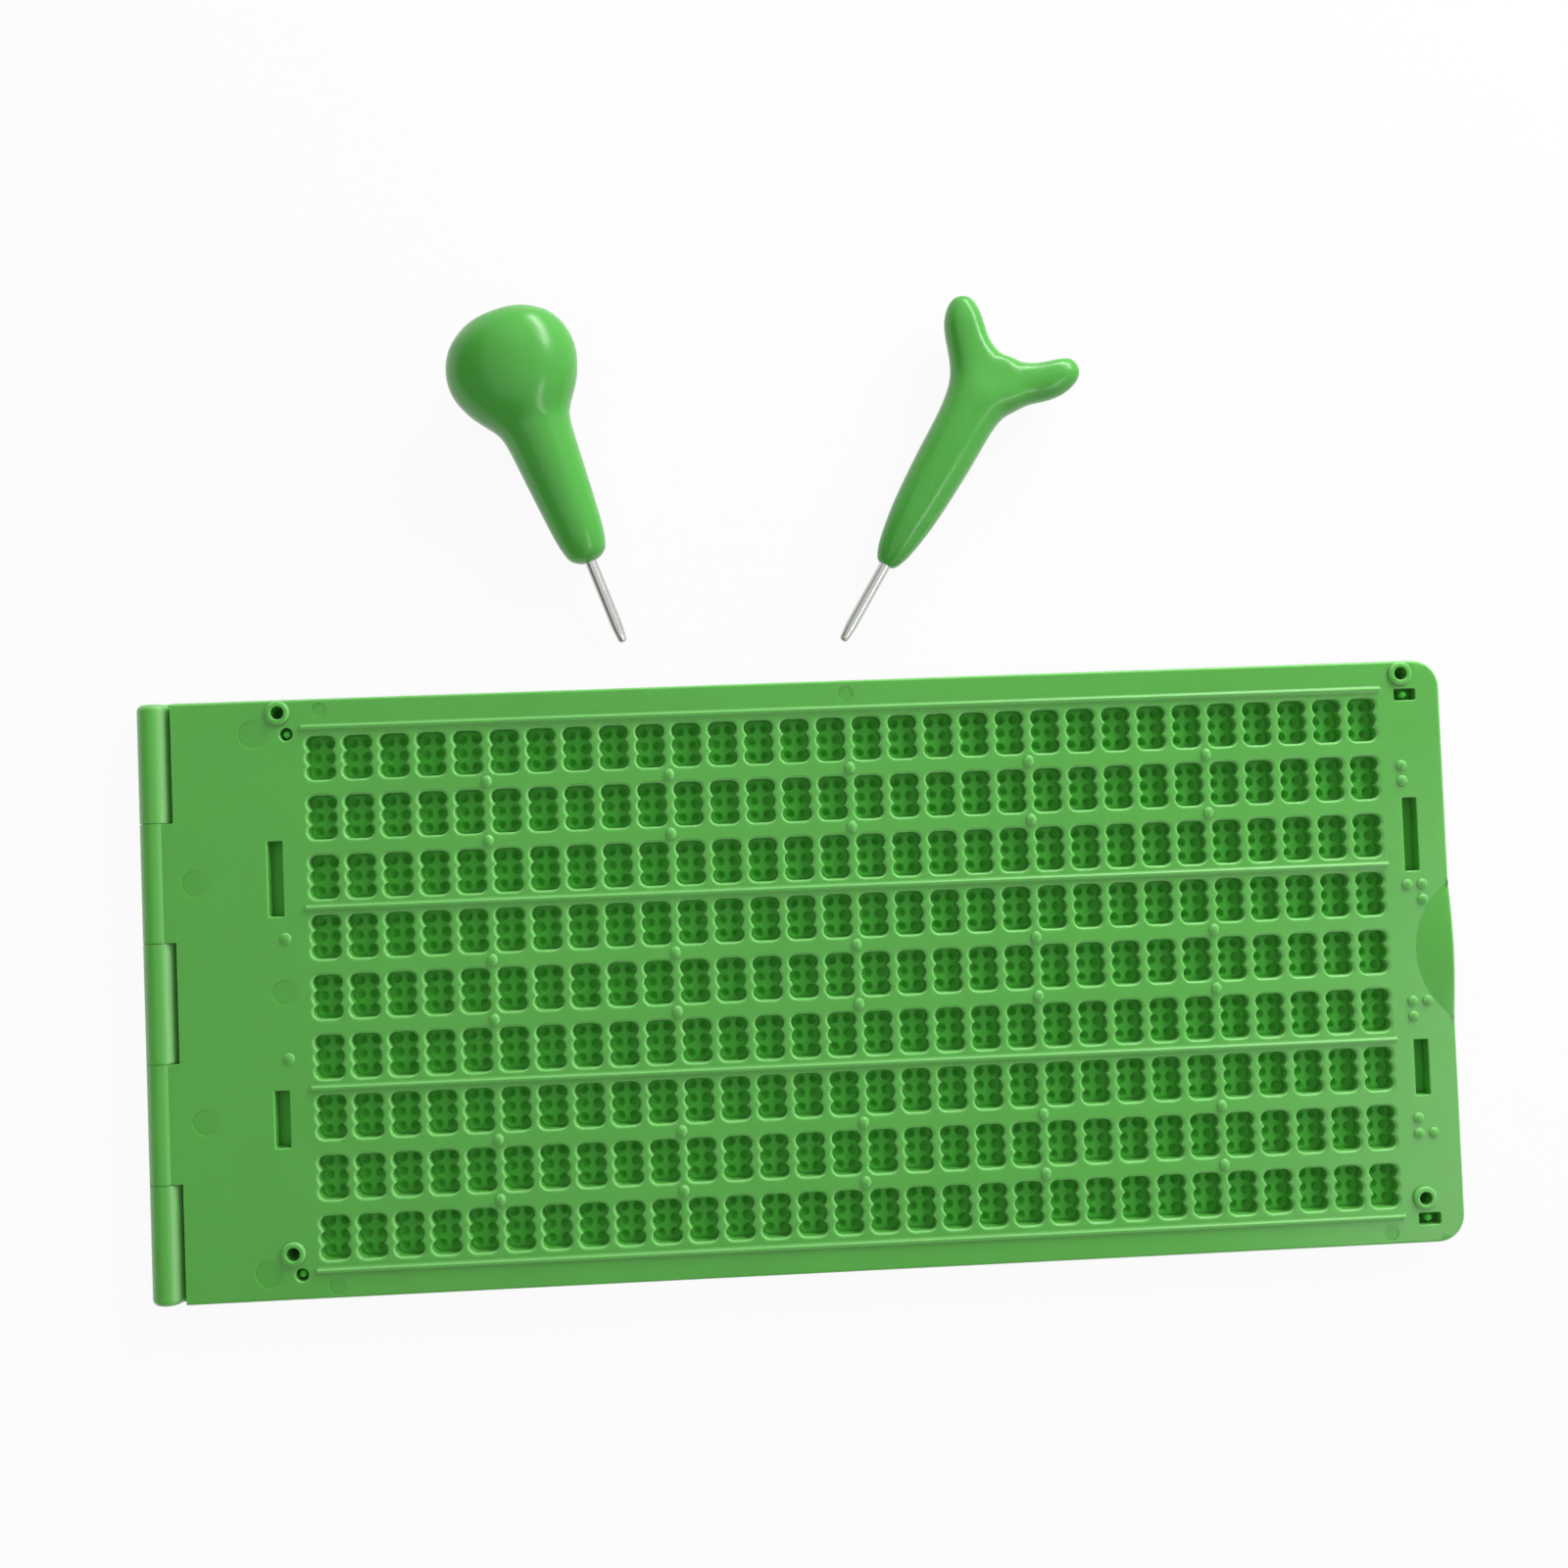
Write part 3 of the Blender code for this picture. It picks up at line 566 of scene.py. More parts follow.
def grid_block(low, high):
    """A block over all cells, with a corner at each cell's corner along its sides."""
    bpy.ops.object.select_all(action="DESELECT")
    bpy.ops.mesh.primitive_grid_add(
        x_subdivisions=CELL_COUNT,
        y_subdivisions=LINE_COUNT,
        size=1,
        location=((GRID_LEFT + GRID_RIGHT) / 2, 0, low),
    )
    piece = settle("grid_block", (GRID_RIGHT - GRID_LEFT, 2 * GRID_HALF, 1))
    with shaping(piece):
        bpy.ops.mesh.select_all(action="SELECT")
        bpy.ops.mesh.extrude_region_move(TRANSFORM_OT_translate={"value": (0, 0, high - low)})
        bpy.ops.mesh.select_all(action="SELECT")
        bpy.ops.mesh.normals_make_consistent(inside=False)
    return piece


def over_grid(point):
    return GRID_LEFT - TOUCH < point.x < GRID_RIGHT + TOUCH and abs(point.y) < GRID_HALF + TOUCH


def flat_plate(name, low, high, corner):
    """A plate with a hole for the grid, square corners by the hinge and round ones at the far edge."""
    plate = block(name, (PLATE_LEFT, -HALF_WIDTH, low), (PLATE_RIGHT, HALF_WIDTH, high))
    combine(plate, grid_block(low - OVERRUN, high + OVERRUN), "DIFFERENCE")
    with shaping(plate):
        pick("EDGE", lambda edge: is_upright(edge) and middle(edge).x > GRID_RIGHT + TOUCH)
        bpy.ops.mesh.bevel(offset=corner, segments=10, affect="EDGES")
    return plate


def round_rims(plate, radius):
    """Rounds every outer rim of a plate but those along the hinge side."""
    with shaping(plate):
        pick(
            "EDGE",
            lambda edge: edge.calc_face_angle(0) > 1
            and abs(edge.verts[0].co.z - edge.verts[1].co.z) < edge.calc_length() / 2
            and max(vert.co.x for vert in edge.verts) > PLATE_LEFT + TOUCH
            and not over_grid(middle(edge)),
        )
        bpy.ops.mesh.bevel(offset=radius, segments=3, affect="EDGES")


def knuckle(name, index, web_low, web_high):
    """One knuckle: a barrel and the flat web that ties it to its plate.

    The two ends of the hinge are rounded, and every second knuckle has the collars of its gaps.
    """
    top = HALF_WIDTH - index * KNUCKLE_PITCH
    bottom = top - KNUCKLE_PITCH
    outer_top = index == 0
    outer_bottom = index == KNUCKLE_COUNT - 1
    top -= 0 if outer_top else KNUCKLE_GAP / 2
    bottom += 0 if outer_bottom else KNUCKLE_GAP / 2
    barrel = bar(name, BARREL_RADIUS, bottom, top, BARREL_SIDES)
    with shaping(barrel):
        for y, is_outer in ((top, outer_top), (bottom, outer_bottom)):
            pick("EDGE", lambda edge: all(close_to(vert.co.y, y) for vert in edge.verts))
            offset, segments = (BARREL_END_ROUNDING, 5) if is_outer else (KNUCKLE_EASING, 1)
            bpy.ops.mesh.bevel(offset=offset, segments=segments, affect="EDGES")
    web = block(name + "_web", (HINGE.x, bottom, web_low), (PLATE_LEFT + OVERRUN, top, web_high))
    combine(barrel, web, "UNION")
    if index % 2:
        reach = KNUCKLE_GAP * COLLAR_SHARE
        collar = bar(name + "_collar", BARREL_RADIUS - COLLAR_STEP, bottom - reach, top + reach, BARREL_SIDES)
        combine(barrel, collar, "UNION")
    return barrel


def pin_bore():
    reach = HALF_WIDTH + OVERRUN
    return bar("pin_bore", PIN_BORE_RADIUS, -reach, reach, 32)


def lip_cone(name, base, sizes):
    """Low cone whose foot circle reaches in from the far edge, with a stub below its foot."""
    centre = PLATE_RIGHT - sizes.lip_reach + sizes.lip_radius
    top_radius = sizes.lip_radius - sizes.lip_reach - OVERRUN
    rise = sizes.lip_rise / sizes.lip_reach * (sizes.lip_radius - top_radius)
    bpy.ops.object.select_all(action="DESELECT")
    bpy.ops.mesh.primitive_cone_add(
        vertices=64,
        radius1=sizes.lip_radius,
        radius2=top_radius,
        depth=rise,
        location=(centre, 0, base + rise / 2),
    )
    cone = settle(name)
    with shaping(cone):
        pick("FACE", lambda face: face.normal.z < -0.9)
        bpy.ops.mesh.extrude_region_move(TRANSFORM_OT_translate={"value": (0, 0, -OVERRUN)})
    return cone


def open_sides(left, right, half):
    """Takes away the upright faces on the four sides of a rectangle about the middle line."""

    def on_side(face):
        place = face.calc_center_median()
        if abs(face.normal.z) > 0.1:
            return False
        across = left - TOUCH < place.x < right + TOUCH
        along = half[0] - TOUCH < place.y < half[1] + TOUCH
        by_x = close_to(place.x, left) or close_to(place.x, right)
        by_y = close_to(place.y, half[0]) or close_to(place.y, half[1])
        return across and along and (by_x or by_y)

    pick("FACE", on_side)
    bpy.ops.mesh.delete(type="ONLY_FACE")
    bpy.ops.mesh.select_all(action="SELECT")
    bpy.ops.mesh.delete_loose(use_verts=True, use_edges=True, use_faces=False)


def tile(name, low, high):
    """The block of the first cell of the last line, which is then shaped and repeated."""
    x, y = cell_x(0), line_y(LINE_COUNT - 1)
    reach = Vector((CELL_PITCH / 2, LINE_PITCH / 2, 0))
    return block(name, Vector((x, y, low)) - reach, Vector((x, y, high)) + reach)


def dot_places():
    """The six dots of the first cell of the last line."""
    x, y = cell_x(0), line_y(LINE_COUNT - 1)
    return [(x + i * DOT_PITCH, y + j * DOT_PITCH) for i in DOT_COLUMNS for j in DOT_ROWS]


def spread_tiles(piece):
    """Opens the tile's four sides and repeats it over all cells without a seam."""
    x, y = cell_x(0), line_y(LINE_COUNT - 1)
    with shaping(piece):
        open_sides(x - CELL_PITCH / 2, x + CELL_PITCH / 2, (y - LINE_PITCH / 2, y + LINE_PITCH / 2))
    repeat(piece, CELL_COUNT, (CELL_PITCH, 0, 0))
    repeat(piece, LINE_COUNT, (0, LINE_PITCH, 0))
    return piece


def window_grid(sizes):
    """All windows: six scallops round the dots of each cell, with cut off cusps and a rounded rim."""
    piece = tile("window_grid", WINDOW_LOW, WINDOW_HIGH)
    x, y = cell_x(0), line_y(LINE_COUNT - 1)
    low, high = WINDOW_LOW - OVERRUN, WINDOW_HIGH + OVERRUN
    cutters = [drum("scallop", u, v, low, high, SCALLOP_RADIUS, 12) for u, v in dot_places()]
    for name, across, along in (
        ("middle", DOT_PITCH / 2, WINDOW_HALF_LENGTH),
        ("cusps", DOT_PITCH / 2 + SCALLOP_RADIUS / 2, DOT_PITCH),
    ):
        cutters.append(block(name, (x - across, y - along, low), (x + across, y + along, high)))
    cutter = cutters[0]
    for other in cutters[1:]:
        combine(cutter, other, "UNION")
    with shaping(cutter):
        bpy.ops.mesh.select_all(action="SELECT")
        bpy.ops.mesh.remove_doubles(threshold=CUSP_MERGE)
    combine(piece, cutter, "DIFFERENCE")
    with shaping(piece):
        pick(
            "EDGE",
            lambda edge: at_height(edge, WINDOW_HIGH)
            and edge.calc_face_angle(0) > 1
            and abs(middle(edge).x - x) < CELL_PITCH / 2 - TOUCH
            and abs(middle(edge).y - y) < LINE_PITCH / 2 - TOUCH,
        )
        bpy.ops.mesh.bevel(offset=sizes.window_rim, segments=2, affect="EDGES")
    return spread_tiles(piece)


def pit(x, y, sizes):
    floor = sizes.pit_radius * PIT_FLOOR_SHARE
    slope = (sizes.pit_radius - floor) / sizes.pit_depth
    low, high = PIT_FACE - sizes.pit_depth, PIT_FACE + OVERRUN
    bpy.ops.object.select_all(action="DESELECT")
    bpy.ops.mesh.primitive_cone_add(
        vertices=14,
        radius1=floor,
        radius2=sizes.pit_radius + OVERRUN * slope,
        depth=high - low,
        location=(x, y, (low + high) / 2),
    )
    piece = settle("pit")
    with shaping(piece):
        pick("EDGE", lambda edge: at_height(edge, low))
        bpy.ops.mesh.bevel(offset=floor * PIT_FLOOR_EASING_SHARE, segments=1, affect="EDGES")
    return piece


def pit_grid(sizes):
    """All pits: a round pit with sloping sides under each of the six dots of each cell."""
    piece = tile("pit_grid", 0, PIT_FACE)
    combine(piece, joined([pit(u, v, sizes) for u, v in dot_places()]), "DIFFERENCE")
    return spread_tiles(piece)


def fit_grid(plate, grid):
    """Welds the grid of cells into the plate's hole."""
    with shaping(plate):
        open_sides(GRID_LEFT, GRID_RIGHT, (-GRID_HALF, GRID_HALF))
    plate = joined([plate, grid])
    with shaping(plate):
        bpy.ops.mesh.select_all(action="SELECT")
        bpy.ops.mesh.remove_doubles(threshold=TOUCH)
    return plate


def slot_cutter(x, y, size_x, size_y, corner, low, high):
    piece = block("slot", (x - size_x / 2, y - size_y / 2, low), (x + size_x / 2, y + size_y / 2, high))
    with shaping(piece):
        pick("EDGE", is_upright)
        bpy.ops.mesh.bevel(offset=corner, segments=3, affect="EDGES")
    return piece


def window_openings(sizes):
    """Cutters of the boss bores, peg holes, peg slots and margin slots."""
    low, high = WINDOW_LOW - OVERRUN, WINDOW_HIGH + sizes.boss_height + OVERRUN
    cutters = [drum("bore", x, y, low, high, BOSS_BORE_RADIUS, 32) for x, y in BOSSES]
    cutters += [drum("peg_hole", x, y, low, high, PEG_HOLE_RADIUS, 32) for x, y in LEFT_PEGS]
    cutters += [slot_cutter(x, y, *PEG_SLOT_SIZE, PEG_SLOT_CORNER, low, high) for x, y in RIGHT_PEGS]
    for x in (FIRST_CELL_X - LEFT_SLOT_TO_CELL, LAST_CELL_X + RIGHT_SLOT_TO_CELL):
        for y, length in MARGIN_SLOT_LENGTHS:
            cutters.append(slot_cutter(x, y, MARGIN_SLOT_WIDTH, length, MARGIN_SLOT_CORNER, low, high))
    return joined(cutters)


def boss(x, y, sizes):
    piece = drum("boss", x, y, WINDOW_HIGH - OVERRUN, WINDOW_HIGH + sizes.boss_height, BOSS_RADIUS, 32)
    with shaping(piece):
        pick("EDGE", lambda edge: at_height(edge, WINDOW_HIGH + sizes.boss_height))
        bpy.ops.mesh.bevel(offset=BOSS_ROUNDING, segments=4, affect="EDGES")
    return piece


def ejector_marks():
    """Cutters of the shallow round marks that the ejector pins leave, each a little aslant."""
    cutters = []
    for x, y, radius in EJECTOR_MARKS:
        bpy.ops.object.select_all(action="DESELECT")
        bpy.ops.mesh.primitive_cylinder_add(
            vertices=32,
            radius=radius,
            depth=EJECTOR_CUTTER_HEIGHT,
            location=(x, y, WINDOW_HIGH + EJECTOR_CUTTER_HEIGHT / 2 - EJECTOR_DEPTH),
            rotation=(EJECTOR_TILT, -EJECTOR_TILT, 0),
        )
        cutters.append(settle("ejector_mark"))
    return joined(cutters)


def rib(y, sizes):
    """A guide rib: a low ridge with sloping sides, an eased crest and eased ends."""
    left, right = FIRST_CELL_X - RIB_TO_FIRST_CELL, LAST_CELL_X + RIB_TO_LAST_CELL
    foot, crest = WINDOW_HIGH - SINK, WINDOW_HIGH + sizes.rib_height
    bpy.ops.object.select_all(action="DESELECT")
    bpy.ops.mesh.primitive_cylinder_add(
        vertices=4,
        radius=sizes.rib_width / 2,
        depth=right - left,
        location=((left + right) / 2, y, foot),
        rotation=(0, math.pi / 2, 0),
    )
    piece = settle("rib")
    with shaping(piece):
        bpy.ops.mesh.select_all(action="SELECT")
        bpy.ops.transform.resize(
            value=(1, 1, 2 * (crest - foot) / sizes.rib_width), center_override=(0, y, foot)
        )
        for x in (left, right):
            pick("EDGE", lambda edge: all(close_to(vert.co.x, x) for vert in edge.verts))
            bpy.ops.mesh.bevel(offset=sizes.rib_width * RIB_END_SHARE, segments=2, affect="EDGES")
        pick("EDGE", lambda edge: at_height(edge, crest) and edge.calc_length() > LINE_PITCH)
        bpy.ops.mesh.bevel(offset=sizes.rib_width * RIB_CREST_SHARE, segments=2, affect="EDGES")
    return piece


def raised_dot(name, x, y, radius, height, stretch=1.0):
    """A round or slightly oval dot whose lower half is sunk in the window plate."""
    return dome(name, x, y, WINDOW_HIGH - SINK, radius, radius * stretch, height + SINK, 20, 10)


def raised_forms(sizes):
    """Ribs, guide dots, margin dots and the dots of the braille line numbers."""
    forms = [rib(y, sizes) for y in RIB_LINES]
    for line in DOT_ROW_LINES:
        for cell in range(DOT_CELL_INTERVAL, CELL_COUNT, DOT_CELL_INTERVAL):
            x, y = cell_x(cell) - CELL_PITCH / 2, line_y(line) - LINE_PITCH / 2
            forms.append(raised_dot("guide_dot", x, y, sizes.guide_dot, GUIDE_DOT_HEIGHT, GUIDE_DOT_STRETCH))
    for line in MARGIN_DOT_LINES:
        x, y = FIRST_CELL_X - MARGIN_DOT_TO_CELL, line_y(line)
        forms.append(raised_dot("margin_dot", x, y, sizes.margin_dot, MARGIN_DOT_HEIGHT))
    for line, dots in LINE_NUMBERS.items():
        for column, row in dots:
            x = LAST_CELL_X + NUMBER_TO_CELL + column * NUMBER_DOT_PITCH
            y = line_y(line) + NUMBER_ABOVE_LINE - row * NUMBER_DOT_PITCH
            forms.append(raised_dot("number_dot", x, y, sizes.number_dot, NUMBER_DOT_HEIGHT))
    return joined(forms)


def build_window_plate(sizes):
    """Upper plate with the even knuckles, the lifting lip, the windows and all that stands on it."""
    plate = flat_plate("window_leaf_plate", WINDOW_LOW, WINDOW_HIGH, sizes.corner)
    lip = lip_cone("lip", WINDOW_HIGH, sizes)
    with shaping(lip):
        bpy.ops.mesh.select_all(action="SELECT")
        bpy.ops.mesh.bisect(plane_co=(PLATE_RIGHT, 0, 0), plane_no=(1, 0, 0), use_fill=True, clear_outer=True)
    combine(plate, lip, "UNION")
    round_rims(plate, sizes.rim)
    combine(plate, lip_cone("lip_hollow", WINDOW_LOW, sizes), "DIFFERENCE")
    for index in range(1, KNUCKLE_COUNT, 2):
        combine(plate, knuckle("knuckle", index, WINDOW_LOW, WINDOW_HIGH), "UNION")
    combine(plate, joined([boss(x, y, sizes) for x, y in BOSSES]), "UNION")
    combine(plate, pin_bore(), "DIFFERENCE")
    combine(plate, window_openings(sizes), "DIFFERENCE")
    top = WINDOW_HIGH + sizes.boss_height
    with shaping(plate):
        pick(
            "EDGE",
            lambda edge: (at_height(edge, WINDOW_HIGH) or at_height(edge, top))
            and edge.is_convex
            and edge.calc_face_angle(0) > MARGIN_EDGE_TURN
            and PLATE_LEFT + OVERRUN * 2 < middle(edge).x < PLATE_RIGHT - OVERRUN * 2
            and abs(middle(edge).y) < HALF_WIDTH - OVERRUN
            and not (GRID_LEFT - OVERRUN < middle(edge).x < GRID_RIGHT + OVERRUN),
        )
        bpy.ops.mesh.bevel(offset=MARGIN_EASING, segments=2, affect="EDGES")
    combine(plate, ejector_marks(), "DIFFERENCE")
    plate = fit_grid(plate, window_grid(sizes))
    combine(plate, raised_forms(sizes), "UNION")
    smooth(plate, 50, flats=True, crease=lambda edge: on_lip_foot(edge, sizes))
    return plate


def peg(x, y):
    top = WINDOW_HIGH - PEG_BELOW_FACE
    piece = drum("peg", x, y, PIT_FACE - OVERRUN, top, PEG_RADIUS, 24)
    with shaping(piece):
        pick("EDGE", lambda edge: at_height(edge, top))
        bpy.ops.mesh.bevel(offset=PEG_RADIUS * PEG_ROUNDING_SHARE, segments=4, affect="EDGES")
    return piece


def build_pit_plate(sizes):
    """Lower plate with the odd knuckles, the pits, the registration pegs and the wells."""
    plate = flat_plate("pit_leaf_plate", 0, PIT_FACE, sizes.corner)
    round_rims(plate, sizes.rim)
    for index in range(0, KNUCKLE_COUNT, 2):
        combine(plate, knuckle("knuckle", index, 0, PIT_FACE), "UNION")
    combine(plate, joined([peg(x, y) for x, y in LEFT_PEGS + RIGHT_PEGS]), "UNION")
    combine(plate, pin_bore(), "DIFFERENCE")
    wells = [drum("well", x, y, WELL_FLOOR, PIT_FACE + OVERRUN, BOSS_BORE_RADIUS, 32) for x, y in BOSSES]
    combine(plate, joined(wells), "DIFFERENCE")
    plate = fit_grid(plate, pit_grid(sizes))
    smooth(plate, 50, flats=True)
    return plate


def build_hinge_pin():
    """Plain steel pin with eased ends, sunk in the bore at both ends."""
    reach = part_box("hinge_pin")[1].y
    pin = bar("hinge_pin_bar", PIN_RADIUS, -reach, reach, 48)
    with shaping(pin):
        pick("EDGE", lambda edge: edge.calc_face_angle(0) > 1)
        bpy.ops.mesh.bevel(offset=PIN_EASING, segments=3, affect="EDGES")
    smooth(pin, 40)
    return pin


def turned(name, rings, sides):
    """A round bar along +Y: a disc, extruded from ring to ring and shifted and scaled at each."""
    along, across, wide, deep = rings[0]
    bpy.ops.object.select_all(action="DESELECT")
    bpy.ops.mesh.primitive_circle_add(
        vertices=sides, radius=1, fill_type="NGON", location=(across, along, 0), rotation=(math.pi / 2, 0, 0)
    )
    piece = settle(name)
    with shaping(piece):
        bpy.ops.mesh.select_all(action="SELECT")
        bpy.ops.transform.resize(value=(wide, 1, deep), center_override=(across, along, 0))
        for next_along, next_across, next_wide, next_deep in rings[1:]:
            step = (next_across - across, next_along - along, 0)
            bpy.ops.mesh.extrude_region_move(TRANSFORM_OT_translate={"value": step})
            bpy.ops.transform.resize(
                value=(next_wide / wide, 1, next_deep / deep), center_override=(next_across, next_along, 0)
            )
            along, across, wide, deep = next_along, next_across, next_wide, next_deep
        bpy.ops.mesh.select_all(action="SELECT")
        bpy.ops.mesh.normals_make_consistent(inside=False)
    return piece


def subdivide(piece, levels):
    activate(piece)
    modifier = piece.modifiers.new("smooth", "SUBSURF")
    modifier.levels = levels
    modifier.render_levels = levels
    bpy.ops.object.modifier_apply(modifier=modifier.name)


def needle(name, sizes):
    """Steel needle with a shank inside the handle and a blunt rounded tip outside."""
    radius, tip, reach = sizes.needle_radius, sizes.needle_tip, -sizes.needle_reach
    piece = turned(
        name,
        (
            (NEEDLE_SHANK, 0, radius, radius),
            (reach + sizes.needle_taper, 0, radius, radius),
            (reach, 0, tip, tip),
        ),
        NEEDLE_SIDES,
    )
    with shaping(piece):
        pick("EDGE", lambda edge: all(close_to(vert.co.y, reach) for vert in edge.verts))
        bpy.ops.mesh.bevel(offset=tip * NEEDLE_ROUNDING_SHARE, segments=4, affect="EDGES")
    smooth(piece, 40)
    return piece


def cut_bore(handle, sizes):
    radius = sizes.needle_radius + NEEDLE_CLEARANCE
    rings = ((NEEDLE_SHANK + NEEDLE_CLEARANCE, 0, radius, radius), (-OVERRUN * 3, 0, radius, radius))
    combine(handle, turned("bore", rings, NEEDLE_SIDES), "DIFFERENCE")


def knob_handle(sizes):
    """Round grip that swells into a wide, less thick head."""
    piece = turned("knob_handle", KNOB_RINGS, KNOB_SIDES)
    subdivide(piece, 2)
    cut_bore(piece, sizes)
    smooth(piece, 40)
    return piece


def fork_handle(sizes):
    """Grip and two arms, skinned over a centre line that is drawn point by point, with a pressed crown."""
    bpy.ops.object.select_all(action="DESELECT")
    bpy.ops.mesh.primitive_plane_add(size=0.001)
    piece = settle("fork_handle")
    places = [Vector((across, along, 0)) for across, along, _, _ in FORK_JOINTS]
    with shaping(piece):
        bpy.ops.mesh.select_all(action="SELECT")
        bpy.ops.mesh.merge(type="CENTER")
        bpy.ops.transform.translate(value=places[0])
        for index in range(1, len(places)):
            start = places[FORK_JOINTS[index][3]]
            pick("VERT", lambda vert: (vert.co - start).length < TOUCH)
            bpy.ops.mesh.extrude_region_move(TRANSFORM_OT_translate={"value": places[index] - start})
    skin = piece.modifiers.new("skin", "SKIN")
    skin.use_smooth_shade = True
    for vert, point in zip(piece.data.vertices, piece.data.skin_vertices[0].data):
        joint = min(range(len(places)), key=lambda i: (places[i] - vert.co).length)
        radius = FORK_JOINTS[joint][2] * SKIN_SWELL
        point.radius = (radius, radius)
        point.use_root = joint == FORK_ROOT
    activate(piece)
    bpy.ops.object.modifier_apply(modifier=skin.name)
    subdivide(piece, 1)
    with shaping(piece):
        for along, crown, press in FORK_FLATS:
            pick("VERT", lambda vert: vert.co.y > along and vert.co.z > crown)
            bpy.ops.transform.resize(value=(1, 1, press), center_override=(0, 0, crown))
        pick("VERT", lambda vert: (vert.co.xy - FORK_SADDLE).length < FORK_SADDLE_REACH)
        bpy.ops.mesh.vertices_smooth(factor=0.5, repeat=1, zaxis=False)
    subdivide(piece, 2)
    cut_bore(piece, sizes)
    smooth(piece, 40)
    return piece


def lay_down(pieces, place, heading, tilt, low):
    """Turns a stylus, and sets it down so that its handle's lowest point is at the given height."""
    turn = Matrix.Rotation(heading, 4, "Z") @ Matrix.Rotation(tilt, 4, "X")
    for piece in pieces:
        piece.data.transform(turn)
    lift = low - min(vert.co.z for vert in pieces[0].data.vertices)
    for piece in pieces:
        piece.data.transform(Matrix.Translation((place[0], place[1], lift)))


class Signal:
    """One output of a shader node. Arithmetic on it adds Math nodes."""

    def __init__(self, finish, socket):
        self.finish = finish
        self.socket = socket

    def math(self, operation, *others, clamp=False):
        inputs = dict(enumerate((self, *others)))
        return self.finish.node("ShaderNodeMath", {"operation": operation, "use_clamp": clamp}, inputs)

    def __add__(self, other):
        return self.math("ADD", other)

    __radd__ = __add__

    def __mul__(self, other):
        return self.math("MULTIPLY", other)

    __rmul__ = __mul__

    def __sub__(self, other):
        return self.math("SUBTRACT", other)

    def __rsub__(self, other):
        return self.finish.node("ShaderNodeMath", {"operation": "SUBTRACT"}, {0: other, 1: self})


class Finish:
    """A material or a world under construction, whose nodes are added by name."""

    def __init__(self, owner, output="ShaderNodeOutputMaterial"):
        self.owner = owner
        self.owner.use_nodes = True
        self.tree = self.owner.node_tree
        self.tree.nodes.clear()
        self.output = self.tree.nodes.new(output)

    def node(self, kind, settings=None, inputs=None, output=0):
        made = self.tree.nodes.new(kind)
        for name, value in (settings or {}).items():
            if name == "stops":
                ramp = made.color_ramp.elements
                while len(ramp) < len(value):
                    ramp.new(0.5)
                for stop, (position, level) in zip(ramp, value):
                    stop.position = position
                    stop.color = (level, level, level, 1)
            else:
                setattr(made, name, value)
        for name, value in (inputs or {}).items():
            self.put(made.inputs[name], value)
        return Signal(self, made.outputs[output])

    def put(self, socket, value):
        if isinstance(value, Signal):
            self.tree.links.new(value.socket, socket)
        elif hasattr(value, "__len__") and len(value) == 3 and socket.type == "RGBA":
            socket.default_value = (*value, 1)
        else:
            socket.default_value = value

    def surface(self, shader):
        self.tree.links.new(shader.socket, self.output.inputs["Surface"])
        return self.owner

    def ray(self, kind):
        """One where a ray of this kind looks, and nought for the others."""
        return self.node("ShaderNodeLightPath", output=f"Is {kind} Ray")

    def mirrored(self):
        """One where a reflection or a refraction looks, and nought for the light itself."""
        return self.ray("Glossy").math("ADD", self.ray("Transmission"), clamp=True)

    def blend(self, factor, low, high):
        """A shader between two, by the factor."""
        return self.node("ShaderNodeMixShader", {}, {0: factor, 1: low, 2: high})

    def place(self, scale=(1, 1, 1), rotation=(0, 0, 0)):
        """Object coordinates in metres, turned and then stretched."""
        point = self.node("ShaderNodeTexCoord", output="Object")
        turned_point = self.node("ShaderNodeMapping", {}, {"Vector": point, "Rotation": rotation})
        return self.node("ShaderNodeMapping", {}, {"Vector": turned_point, "Scale": scale})

    def along(self, vector, axis):
        """One coordinate of a vector."""
        return self.node("ShaderNodeSeparateXYZ", {}, {"Vector": vector}, output=axis)

    def noise(self, place, scale, detail=2.0, roughness=0.5, distortion=0.0):
        inputs = {
            "Vector": place,
            "Scale": scale,
            "Detail": detail,
            "Roughness": roughness,
            "Distortion": distortion,
        }
        return self.node("ShaderNodeTexNoise", {}, inputs)

    def bump(self, relief):
        """The surface's normals, tipped by a relief in metres."""
        return self.node("ShaderNodeBump", {}, {"Strength": 1.0, "Distance": 1.0, "Height": relief})

    def between(self, factor, low, high):
        """A colour between two, by the factor."""
        return self.node(
            "ShaderNodeMix", {"data_type": "RGBA"}, {"Factor": factor, 6: low, 7: high}, output=2
        )

    def principled(self, **sockets):
        inputs = {name.replace("_", " "): value for name, value in sockets.items()}
        return self.node("ShaderNodeBsdfPrincipled", {}, inputs)


def tinted(base, factor):
    return tuple(min(1.0, channel * factor) for channel in base)


